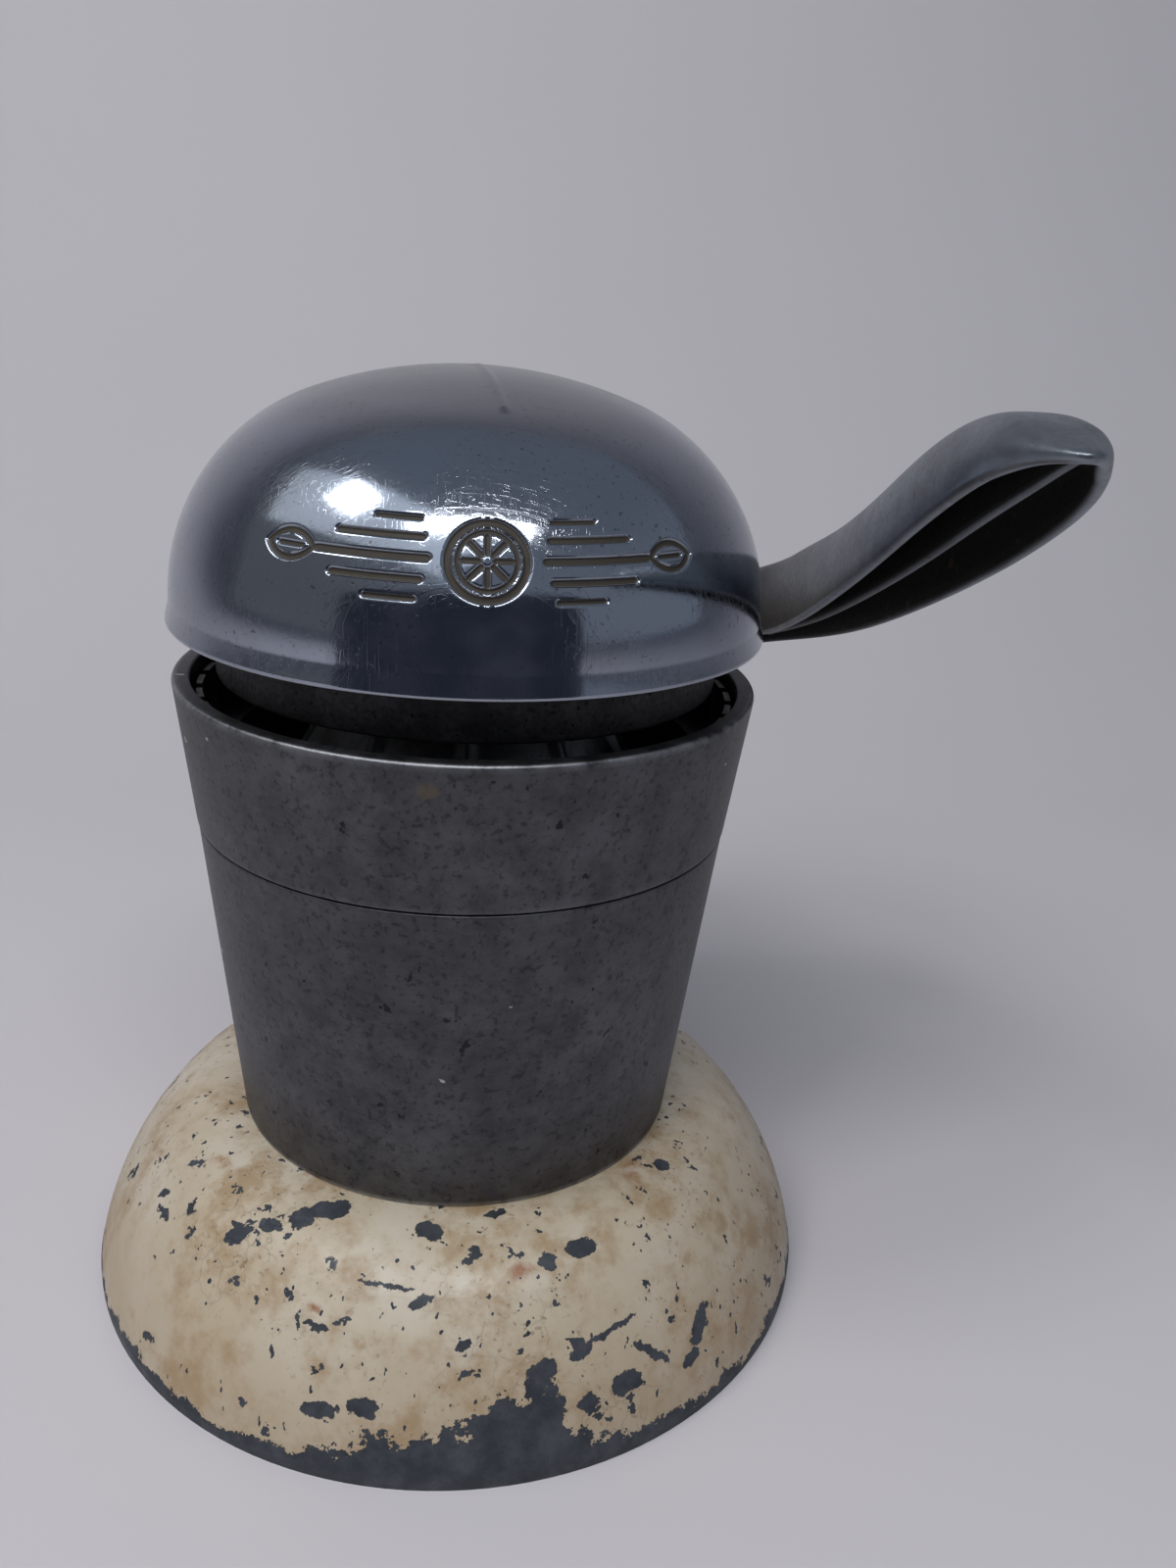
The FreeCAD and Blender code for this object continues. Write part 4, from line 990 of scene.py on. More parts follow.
@dataclass
class Vessel:
    """The juice cup and the strainer ring that stands in it, both turned and softly edged."""

    foot_radius: float = 47.5
    foot: float = 37.6
    foot_hollow: float = 43.0
    foot_flare: float = 0.6
    floor_under: float = 40.4
    floor_top: float = 42.9
    floor_radius: float = 45.0
    floor_fillet: float = 4.5
    cup_wall: float = 2.7
    seam: float = 105.3
    seam_radius: float = 54.7
    seam_gap: float = 0.4
    seam_step: float = 0.2
    spigot_foot: float = 99.3
    spigot_inner: float = 49.2
    spigot_outer: float = 51.0
    spigot_root: float = 51.6
    shelf: float = 119.0
    shelf_radius: float = 54.5
    mouth_radius: float = 55.0
    top: float = 134.2
    top_radius: float = 58.5
    edge_wear_and_highlight: float = 1.1
    seam_wear_and_highlight: float = 0.5
    longest_row: float = 0.9
    columns: int = 360

    def build(self, finish: bpy.types.Material) -> None:
        """Makes both pieces. The mark "edge" is 1 on the corners (rubbed metal and painted
        highlight),
        0.3 at the seam (a fainter painted highlight), and falls to 0 over each reach.

        Args:
            finish: their material.
        """
        brim = self.seam - self.seam_gap
        cup = rounded_profile([
            Corner(0, self.floor_under), Corner(self.foot_hollow, self.floor_under),
            Corner(self.foot_hollow + self.foot_flare, self.foot),
            Corner(self.foot_radius, self.foot, 0.5),
            Corner(self.seam_radius, brim, 0.35),
            Corner(self.seam_radius - self.cup_wall, brim, 0.5),
            Corner(self.floor_radius, self.floor_top, self.floor_fillet),
            Corner(0, self.floor_top),
        ], closed=False)
        ring = rounded_profile([
            Corner(self.spigot_inner, self.spigot_foot, 0.4),
            Corner(self.spigot_outer, self.spigot_foot, 0.4),
            Corner(self.spigot_root, self.seam),
            Corner(self.seam_radius + self.seam_step, self.seam, 0.35),
            Corner(self.top_radius, self.top, 0.7), Corner(self.mouth_radius, self.top, 0.5),
            Corner(self.shelf_radius, self.shelf), Corner(self.spigot_inner, self.shelf, 0.3),
        ])
        worn = np.array([[self.foot_radius, self.foot], [self.top_radius, self.top]])
        seam = np.array([[self.seam_radius, self.seam]])
        for name, profile, closed in (("juice_cup", cup, False), ("strainer_ring", ring, True)):
            profile = with_rows(profile, self.longest_row)
            # The edge mark: rubbed metal and painted highlight on the corners, a fainter painted
            # highlight at the seam.
            edge = [soft_step(-np.linalg.norm(profile[:, None] - corners[None], axis=2).min(
                axis=1), -reach, -0.2) for corners, reach in (
                (worn, self.edge_wear_and_highlight), (seam, self.seam_wear_and_highlight))]
            skin = skin_of_grid(turned(profile, even_turn(self.columns)), closed, True,
                                edge=(edge[0] + 0.3 * edge[1])[:, None])
            make_piece(name + "_turned", skin, Body.STAND, finish, name)


@dataclass
class RibbedCone:
    """The squeezing cone: a straight side that runs into a round crown, with ribs on it."""

    foot_radius: float = 41.5
    foot: float = 104.9
    spring: float = 106.6
    radius: float = 40.0
    top: float = 151.0
    lean: float = 30.0
    wall: float = 2.8
    rib_count: int = 10
    rib_rise: float = 1.5
    rib_width: float = 1.35
    columns: int = 600

    def side(self, wall: float) -> Array:
        """The profile from the spring to the axis, moved inwards by a wall.

        Args:
            wall: how far inwards.

        Returns:
            Its points, from the spring to the axis.
        """
        sine, cosine = math.sin(math.radians(self.lean)), math.cos(math.radians(self.lean))
        crown = (self.radius * cosine - (self.top - self.spring) * sine) / (1 - sine)
        centre = self.top - crown
        curve = arc((0.0, centre), crown - wall, self.lean, 90, 24)
        start = np.array([self.radius - wall / cosine, self.spring])
        run = start + (curve[0] - start) * np.linspace(0, 1, 30, endpoint=False)[:, None]
        return np.vstack([run, curve])

    def build(self, finish: bpy.types.Material) -> None:
        """A rib stands proud by rise exp(-(d / width)^2), d the distance from the nearest rib's
        middle around the cone, and fades out at the foot and at the tip.

        Args:
            finish: the cone's material.
        """
        outer = self.side(0.0)
        azimuths = even_turn(self.columns)
        pitch = 360 / self.rib_count
        away = np.radians((azimuths + pitch / 2) % pitch - pitch / 2)[None] * outer[:, :1]
        fade = (soft_step(outer[:, 1:], self.spring + 0.5, self.spring + 6)
                * soft_step(outer[:, :1], 2.5, 8.0))
        proud = self.rib_rise * np.exp(-(away / self.rib_width) ** 2) * fade
        step = np.gradient(outer, axis=0)
        normal = np.stack([step[:, 1], -step[:, 0]], axis=1)
        normal /= np.linalg.norm(normal, axis=1)[:, None]
        ribbed = outer[:, None] + proud[..., None] * normal[:, None]
        rim = np.array([[self.foot_radius, self.foot], [self.foot_radius, self.spring]])
        inner = self.side(self.wall)[::-1]
        base = np.array([[inner[-1, 0], self.foot]])
        rest = [np.repeat(part[:, None], self.columns, axis=1) for part in (inner, base, rim)]
        skin = skin_of_grid(turned(np.concatenate([ribbed, *rest]), azimuths), True, True)
        make_piece("squeezing_cone_ribbed", skin, Body.STAND, finish,
                   "squeezing_cone")


@dataclass
class Emblem:
    """A made-up engraving: a slice of fruit between speed lines that end in leaves. Its places
    are s along the dome's girth and t up its side, from the slice's middle."""

    slice_radius: float = 6.4
    rind: float = 1.55
    spoke_count: int = 8
    spoke_middle: float = 2.7
    spoke_half: float = 1.3
    stroke: float = 0.62
    wing_start: float = 9.6
    wing_lean: float = 0.25
    wings: tuple[tuple[float, float, float], ...] = (
        (0.0, 28.4, 0.0), (3.5, 25.0, 0.08), (-3.5, 25.0, 0.08), (6.6, 19.0, 0.2),
        (-6.6, 19.0, 0.2))
    leaf_middle: float = 33.6
    leaf_half: float = 4.4
    leaf_fat: float = 2.3
    vein: tuple[float, float] = (-2.6, 2.2)
    edge: float = 0.42

    @staticmethod
    def run(s: Array, t: Array, start: float, end: float, level: float) -> Array:
        """Distance from a level line: the hypotenuse of the overshoot past an end and the height."""
        over = np.maximum(np.maximum(start - s, s - end), 0)
        return np.hypot(over, t - level)

    def depth(self, s: Array, t: Array) -> Array:
        """How deep the engraving is, from 0 to 1: the least of the distances to its strokes,
        less half a stroke, carried through a smooth step as wide as the groove's edge. What is
        added to a stroke's distance makes it thinner.

        Args:
            s: places along the girth.
            t: places up the side.

        Returns:
            The depth at each place.
        """
        far = np.hypot(s, t)
        around = np.arctan2(t, s)
        pitch = 2 * math.pi / self.spoke_count
        off = far * np.abs(np.sin((around + pitch / 2) % pitch - pitch / 2))
        past = np.maximum(np.abs(far - self.spoke_middle) - self.spoke_half, 0)
        least = np.minimum(np.abs(far - self.slice_radius), np.hypot(off, past) + 0.12)
        least = np.minimum(least, np.abs(far - self.slice_radius + self.rind) + 0.22)
        side = np.abs(s)
        for level, end, thinner in self.wings:
            start = self.wing_start + abs(level) * self.wing_lean
            least = np.minimum(least, self.run(side, t, start, end, level) + thinner)
        round_radius = (self.leaf_half ** 2 + self.leaf_fat ** 2) / (2 * self.leaf_fat)
        leaf = np.hypot(side - self.leaf_middle,
                        np.abs(t) + round_radius - self.leaf_fat) - round_radius
        least = np.minimum(least, np.abs(leaf) + 0.1)
        vein = self.run(side, t, self.leaf_middle + self.vein[0],
                        self.leaf_middle + self.vein[1], 0.0)
        least = np.minimum(least, vein + 0.24)
        return soft_step(self.stroke + self.edge / 2 - least, 0.0, self.edge)


@dataclass
class PressCup:
    """The rough cup that bears on the fruit."""

    radius: float = 50.0
    inside: float = 46.4
    mouth: float = 134.9
    mouth_slope: float = 1.0
    crown: float = 172.4
    crown_rise: float = 22.4
    ceiling: float = 168.6
    ceiling_rise: float = 20.6
    screw_hole: float = 3.05
    columns: int = 300

    def arch(self, half: float, top: float, rise: float) -> Array:
        """A shallow arc from the screw's hole out to a half width. Its radius is
        (half^2 + rise^2) / (2 rise).

        Args:
            half: the arc's half width.
            top: its top.
            rise: how far it rises.

        Returns:
            Its points, from the hole outwards.
        """
        curve = (half ** 2 + rise ** 2) / (2 * rise)
        start = math.degrees(math.asin(self.screw_hole / curve))
        end = math.degrees(math.asin(half / curve))
        return arc((0, top - curve), curve, 90 - start, 90 - end, 30)

    def skin(self) -> Skin:
        """A skirt and an arched crown, with a hole for the cup's screw.

        Returns:
            The cup's skin.
        """
        skirt = rounded_profile([
            Corner(self.radius, self.crown - self.crown_rise),
            Corner(self.radius, self.mouth, 0.7),
            Corner(self.inside + self.mouth_slope, self.mouth, 0.6),
            Corner(self.inside, self.mouth + 1.5 * self.mouth_slope, 0.6),
            Corner(self.inside, self.ceiling - self.ceiling_rise)], closed=False)
        profile = np.vstack([
            self.arch(self.radius, self.crown, self.crown_rise), skirt[1:-1],
            self.arch(self.inside, self.ceiling, self.ceiling_rise)[::-1]])
        return skin_of_grid(turned(profile, even_turn(self.columns)), True, True)


@dataclass
class Head:
    """The dome with its hinge ears, and the press cup inside it."""

    radius: float = 58.2
    lip_radius: float = 59.2
    lip: float = 145.0
    spring: float = 149.0
    top: float = 193.9
    shoulder: float = 42.0
    wall: float = 3.0
    engraved: float = 0.55
    emblem_azimuth: float = 2.6
    emblem_turn: float = 25.6
    emblem_reach: float = 12.5
    fine_span: float = 45.0
    fine_columns: int = 350
    coarse_columns: int = 130
    ridge_azimuth: float = 9.0
    ridge_rise: float = 0.35
    ridge_half: float = 0.9
    hinge_back: float = 67.25
    hinge_height: float = 160.0
    ear_radius: float = 7.0
    ear_inner: float = 7.6
    ear_thickness: float = 5.0
    ear_front: float = 14.0
    ear_slant: float = 0.2143
    ear_edge: float = 0.5
    ear_columns: int = 144
    pin_hole: float = 3.02
    emblem: Emblem = field(default_factory=Emblem)
    cup: PressCup = field(default_factory=PressCup)

    def dome(self) -> Skin:
        """The shell: outside, a lip, a shoulder arc that starts upright, and a crown arc tangent
        to it; inside, the same arcs a wall smaller. The engraving moves a point inwards along
        the shoulder arc's radius.

        Returns:
            The dome's skin, with its engraving marked as a groove.
        """
        inset, rise = self.radius - self.shoulder, self.top - self.spring
        crown = (inset ** 2 + rise ** 2 - self.shoulder ** 2) / (2 * (rise - self.shoulder))
        lean = math.degrees(math.acos(inset / (crown - self.shoulder)))
        low, high = self.emblem_turn - self.emblem_reach, self.emblem_turn + self.emblem_reach
        turns = np.concatenate([np.linspace(0, low, 14, endpoint=False),
                                np.linspace(low, high, 82, endpoint=False),
                                np.linspace(high, lean, 22, endpoint=False)])
        shoulder = np.array([inset, self.spring]) + self.shoulder * np.stack(
            [np.cos(np.radians(turns)), np.sin(np.radians(turns))], axis=1)
        centre = (0.0, self.top - crown)
        crown_out = arc(centre, crown, lean, 90, 26)
        inner = np.vstack([
            arc(centre, crown - self.wall, 90, lean, 16),
            arc((inset, self.spring), self.shoulder - self.wall, lean, 0, 24)[1:]])
        lip = rounded_profile([
            Corner(self.radius - self.wall, self.spring),
            Corner(self.lip_radius - self.wall, self.lip, 0.5),
            Corner(self.lip_radius, self.lip, 0.9), Corner(self.radius, self.spring),
        ], closed=False, steps=6)[1:-1]
        start, end = self.emblem_azimuth - self.fine_span, self.emblem_azimuth + self.fine_span
        fine = np.linspace(start, end, self.fine_columns, endpoint=False)
        coarse = np.linspace(end, start + 360, self.coarse_columns, endpoint=False)
        azimuths = np.concatenate([fine, coarse])
        girth = inset + self.shoulder * math.cos(math.radians(self.emblem_turn))
        s = np.radians((azimuths - self.emblem_azimuth + 180) % 360 - 180)[None] * girth
        t = np.radians(turns - self.emblem_turn)[:, None] * self.shoulder
        cut = self.emblem.depth(s, t)
        facing = (shoulder - [inset, self.spring]) / self.shoulder
        marked = shoulder[:, None] - self.engraved * cut[..., None] * facing[:, None]
        rest = [np.repeat(part[:, None], len(azimuths), axis=1)
                for part in (lip, crown_out, inner)]
        off = np.radians(azimuths - self.ridge_azimuth)[None] * crown_out[:, :1]
        rest[1][..., 1] += (self.ridge_rise * np.exp(-(off / self.ridge_half) ** 2)
                            * soft_step(crown_out[:, :1], 0.2, 1.5))
        profile = np.concatenate([rest[0], marked, rest[1], rest[2]])
        groove = np.concatenate([np.zeros(rest[0].shape[:2]), cut, np.zeros(rest[1].shape[:2]),
                                 np.zeros(rest[2].shape[:2])])
        return skin_of_grid(turned(profile, azimuths), True, True, groove=groove)

    def ear(self, start: float) -> Skin:
        """One hinge ear: at each turn f about the pin, a cross-section from the pin's hole out to
        the ear's outline, which is a circle behind the pin and straight sides with a slanted end
        in front of it.

        Args:
            start: where its inner face is across the press.

        Returns:
            The ear's skin.
        """
        turn = np.radians(even_turn(self.ear_columns))
        cosine, sine = np.cos(turn), np.sin(turn)
        ahead = np.where(cosine < -TINY, cosine, -TINY)
        side = self.ear_radius / np.maximum(np.abs(sine), TINY)
        end = -self.ear_front / np.minimum(ahead + self.ear_slant * sine, -TINY)
        reach = np.where(cosine < 0, np.minimum(side, np.where(end > 0, end, side)),
                         self.ear_radius)
        bore, soft = self.pin_hole, self.ear_edge
        inwards = np.stack([np.full_like(reach, bore + soft), np.full_like(reach, bore),
                            np.full_like(reach, bore), np.full_like(reach, bore + soft),
                            reach - soft, reach - 0.15 * soft, reach, reach,
                            reach - 0.15 * soft, reach - soft], axis=1)
        depth = self.ear_thickness
        across = start + np.array([0, soft, depth - soft, depth, depth, depth - 0.15 * soft,
                                   depth - soft, soft, 0.15 * soft, 0])
        grid = np.stack([np.broadcast_to(across, inwards.shape),
                         self.hinge_back + inwards * cosine[:, None],
                         self.hinge_height + inwards * sine[:, None]], axis=-1)
        return skin_of_grid(grid, True, True)

    def build(self, polish: bpy.types.Material, rough: bpy.types.Material) -> None:
        """Makes the dome with its ears, and the press cup.

        Args:
            polish: the dome's material.
            rough: the press cup's material.
        """
        ears = [self.ear(self.ear_inner), self.ear(-self.ear_inner - self.ear_thickness)]
        make_piece("head_dome_engraved", joined([self.dome(), *ears]), Body.HEAD,
                   polish, "head_dome", crease=50)
        make_piece("press_cup_cast", self.cup.skin(), Body.HEAD, rough, "press_cup")


@dataclass
class Lever:
    """The hollow lever: a leaf seen from above, a deep channel seen from below, with a rib down
    its middle and a hub at its root."""

    left: tuple[tuple[float, float], ...] = (
        (56.4, 76), (57.2, 68), (61, 58), (66, 50), (69.2, 42), (70.1, 32), (70, -10),
        (69.8, -62), (71, -76), (75, -86), (79.5, -91.8))
    right: tuple[tuple[float, float], ...] = (
        (85.2, -86), (89.6, -78), (93, -68), (95.2, -50), (94.5, -30), (90, 20), (85.4, 47),
        (80.3, 60), (73.8, 70), (68.7, 76))
    rim: tuple[tuple[float, float], ...] = (
        (82, 118.6), (66, 125.5), (50, 131), (21, 141), (-8, 153), (-36, 166), (-57, 176.5),
        (-72, 183.7), (-85, 189.2), (-94, 190.6))
    roof: tuple[tuple[float, float], ...] = (
        (82, 136.6), (61, 144.6), (36, 155.3), (5, 166.5), (-25, 179.2), (-52, 191.4),
        (-71, 195.2), (-80, 194.4), (-88, 193.2), (-94, 192.5))
    wall: float = 2.4
    roof_thickness: float = 2.8
    lip: float = 0.9
    squareness: float = 2.9
    root_middle: float = 74.0
    nose_middle: float = -77.0
    hub_back: float = 79.0
    hub_up: float = 127.0
    hub_radius: float = 11.0
    hub_left: float = 56.2
    hub_right: float = 68.8
    bore: float = 4.05
    rib_half: float = 1.1
    rib_recess: float = 1.5
    rib_sink: float = 1.2
    rib_start: float = 60.0
    rib_end: float = -84.0
    rib_root: float = 76.0
    rib_drift: float = 7.4 / 150

    def height(self, knots: tuple[tuple[float, float], ...], y: Array) -> Array:
        """A line of the side view at places y: a cubic spline through its knots.

        Args:
            knots: the line's knots, places and heights.
            y: the places asked for.

        Returns:
            The heights there.
        """
        table = np.array(knots)[::-1]
        flat = np.clip(y, table[0, 0], table[-1, 0]).ravel()
        return smooth_line(table[:, 0], table[:, 1], flat).reshape(np.shape(y))

    def outline(self) -> tuple[Array, Array]:
        """The leaf as a closed loop, with the point of the spine that each place looks to.

        Returns:
            The loop's points and the spine's points, n x 2 each.
        """
        knots = np.array(self.left + self.right)
        along = np.concatenate([[0], np.cumsum(np.linalg.norm(np.diff(knots, axis=0), axis=1))])
        fine = smooth_line(along, knots, np.linspace(0, along[-1], 4000))
        tip = int(np.argmin(fine[:, 1]))
        ys = np.linspace(self.root_middle, self.nose_middle, 150)
        left_x = np.interp(-ys, -fine[:tip, 1], fine[:tip, 0])
        right_x = np.interp(ys, fine[tip:, 1], fine[tip:, 0])
        nose = fine[fine[:, 1] < self.nose_middle - 0.05]
        steps = np.concatenate([[0], np.cumsum(np.linalg.norm(np.diff(nose, axis=0), axis=1))])
        even = np.linspace(0, steps[-1], 56)
        nose = np.stack([np.interp(even, steps, nose[:, axis]) for axis in (0, 1)], axis=1)
        middle = (left_x + right_x) / 2
        spine = np.stack([middle, ys], axis=1)
        root_half = (right_x[0] - left_x[0]) / 2
        turn = np.linspace(0, math.pi, 18)[1:-1]
        root = np.stack([middle[0] + root_half * np.cos(turn),
                         self.root_middle + root_half * np.sin(turn)], axis=1)
        loop = np.vstack([np.stack([left_x, ys], axis=1), nose,
                          np.stack([right_x, ys], axis=1)[::-1], root])
        looks = np.vstack([spine, np.repeat(spine[-1:], len(nose), axis=0), spine[::-1],
                           np.repeat(spine[:1], len(root), axis=0)])
        return loop, looks

    def channel(self) -> Skin:
        """The shell. From rim to spine a point lies at spine + (loop - spine) cos(a)^(2/n) in
        plan, and rises from the rim line to the roof line by sin(a)^(2/n); the inner surface is
        the same with the loop a wall and the roof a thickness smaller, and an arc is the lip.

        Returns:
            The shell's skin, with its inside marked as hollow, for painted shade.
        """
        loop, looks = self.outline()
        out = loop - looks
        far = np.linalg.norm(out, axis=1, keepdims=True)
        quarter = np.linspace(math.pi / 2, 0, 22)
        power = 2 / self.squareness
        rows, hollow = [], []
        for inset, sink, order in ((0.0, 0.0, quarter),
                                   (self.wall, self.roof_thickness, quarter[::-1])):
            shrunk = out * (1 - inset / far)
            keep = np.maximum(np.cos(order), 0)[:, None, None] ** power
            rise = np.maximum(np.sin(order), 0)[:, None] ** power
            plan = looks[None] + shrunk[None] * keep
            rim = self.height(self.rim, plan[..., 1]) + self.lip
            roof = self.height(self.roof, plan[..., 1]) - sink
            rows.append(np.concatenate([plan, (rim + (roof - rim) * rise)[..., None]], axis=-1))
            hollow.append(np.full(plan.shape[:2], float(inset > 0)))
        turn = np.linspace(0, math.pi, 9)[1:-1]
        share = (1 - np.cos(turn))[:, None, None] / 2
        plan = looks[None] + out[None] * (1 - share * self.wall / far[None])
        drop = self.lip * (1 - np.sin(turn))[:, None]
        lip = np.concatenate([plan, (self.height(self.rim, plan[..., 1]) + drop)[..., None]],
                             axis=-1)
        # Painted shade that deepens across the lip into the hollow.
        shade = np.repeat(soft_step((1 - np.cos(turn)) / 2, 0.55, 1.0)[:, None], len(loop), 1)
        return skin_of_grid(np.concatenate([rows[0], lip, rows[1]]), False, True,
                            hollow=np.concatenate([hollow[0], shade, hollow[1]]))

    def rib(self) -> Skin:
        """The rib: a rounded strip carried along the lever, from just above the rim line up into
        the roof, closed at both ends.

        Returns:
            The rib's skin, marked as hollow for painted shade, its lower edge less so as a painted
            highlight.
        """
        ys = np.concatenate([[self.rib_start], np.linspace(self.rib_start, self.rib_end, 120),
                             [self.rib_end]])
        turn = np.linspace(0, 2 * math.pi, 16, endpoint=False)
        x = self.rib_root + (self.rib_start - ys) * self.rib_drift
        low = self.height(self.rim, ys) + self.rib_recess
        high = self.height(self.roof, ys) - self.rib_sink
        thin = np.ones(len(ys))
        thin[[0, -1]] = 0
        wide = self.rib_half * np.sign(np.cos(turn)) * np.abs(np.cos(turn)) ** 0.5
        tall = np.sign(np.sin(turn)) * np.abs(np.sin(turn)) ** 0.25
        middle, half = (low + high) / 2, (high - low) / 2
        grid = np.stack([x[:, None] + wide[None] * thin[:, None],
                         np.repeat(ys[:, None], len(turn), axis=1),
                         middle[:, None] + tall[None] * (half * thin)[:, None]], axis=-1)
        # Painted highlight: the rib's lower, free edge takes less of the hollow's painted shade.
        edge = soft_step(-tall, 0.90, 1.0)
        return skin_of_grid(grid, False, True,
                            hollow=np.repeat(1 - 0.55 * edge[None], len(ys), axis=0))

    def hub(self) -> Skin:
        """The hub: a ring about the shaft's line, with rounded edges, which lies along X.

        Returns:
            The hub's skin.
        """
        profile = rounded_profile([
            Corner(self.bore, self.hub_left, 0.4), Corner(self.bore, self.hub_right, 0.4),
            Corner(self.hub_radius, self.hub_right, 1.2),
            Corner(self.hub_radius, self.hub_left, 1.2)])
        upright = turned(profile, even_turn(120))
        grid = np.stack([upright[..., 2], self.hub_back + upright[..., 0],
                         self.hub_up + upright[..., 1]], axis=-1)
        return skin_of_grid(grid, True, True)

    def build(self, finish: bpy.types.Material) -> None:
        """Makes the lever as one piece."""
        make_piece("lever_cast", joined([self.channel(), self.rib(), self.hub()]), Body.LEVER,
                   finish, "lever", crease=55)


def dress_node(node: str, finish: bpy.types.Material) -> None:
    """Gives a CAD node its detailed material.

    Args:
        node: the CAD node.
        finish: its material.
    """
    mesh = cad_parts[node].data
    mesh.materials.clear()
    mesh.materials.append(finish)
    LOG.info("%s keeps its CAD shape and takes %s", node, finish.name)


def soften_edges(node: str, width: float) -> None:
    """Rounds a CAD node's sharp edges with two live modifiers, its shape being left as it is.

    Args:
        node: the CAD node.
        width: the rounding's width.
    """
    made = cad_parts[node]
    weld = made.modifiers.new("sewn", "WELD")
    weld.merge_threshold = TINY
    bevel = made.modifiers.new("rounded", "BEVEL")
    bevel.width, bevel.segments, bevel.limit_method = width * MM, 2, "ANGLE"
    bevel.angle_limit = math.radians(40)
    bevel.harden_normals = True


@dataclass
class Works:
    """The column, the gears, the hinge and the screws: CAD nodes in better finishes."""

    softened: tuple[str, ...] = ("column", "rear_cover")
    edge_rounding: float = 0.5

    dressed: tuple[tuple[Slot, tuple[str, ...]], ...] = (
        (Slot.ENAMEL, ("column", "rear_cover")),
        (Slot.STRAINER, ("strainer_basket",)),
        (Slot.STEEL, ("rack_bar", "pinion", "lever_shaft", "pinion_pin", "lever_pin",
                      "hinge_pin", "drag_spring")),
        (Slot.ZINC, ("thrust_washer", "shaft_clip", "left_hinge_washer", "right_hinge_washer",
                     "drag_screw", "stop_screw", "cover_screws", "column_screws", "cone_screw",
                     "press_screw")),
        (Slot.BRONZE, ("left_bush", "right_bush", "drag_shoe")),
    )

    def dress(self, finishes: dict[Slot, bpy.types.Material]) -> None:
        """Gives every node of the works its finish, and softens the painted castings.

        Args:
            finishes: the material of each slot.
        """
        for node in self.softened:
            soften_edges(node, self.edge_rounding)
        for slot, nodes in self.dressed:
            for node in nodes:
                dress_node(node, finishes[slot])


# ---------------------------------------------------------------- studio

@dataclass(frozen=True)
class Lamp:
    """A soft light: where it stands as seen from the head, its size and its power in watts."""

    name: str
    azimuth: float
    elevation: float
    distance: float
    width: float
    height: float
    power: float
    colour: Colour = (1.0, 1.0, 1.0)
    glossy: bool = True


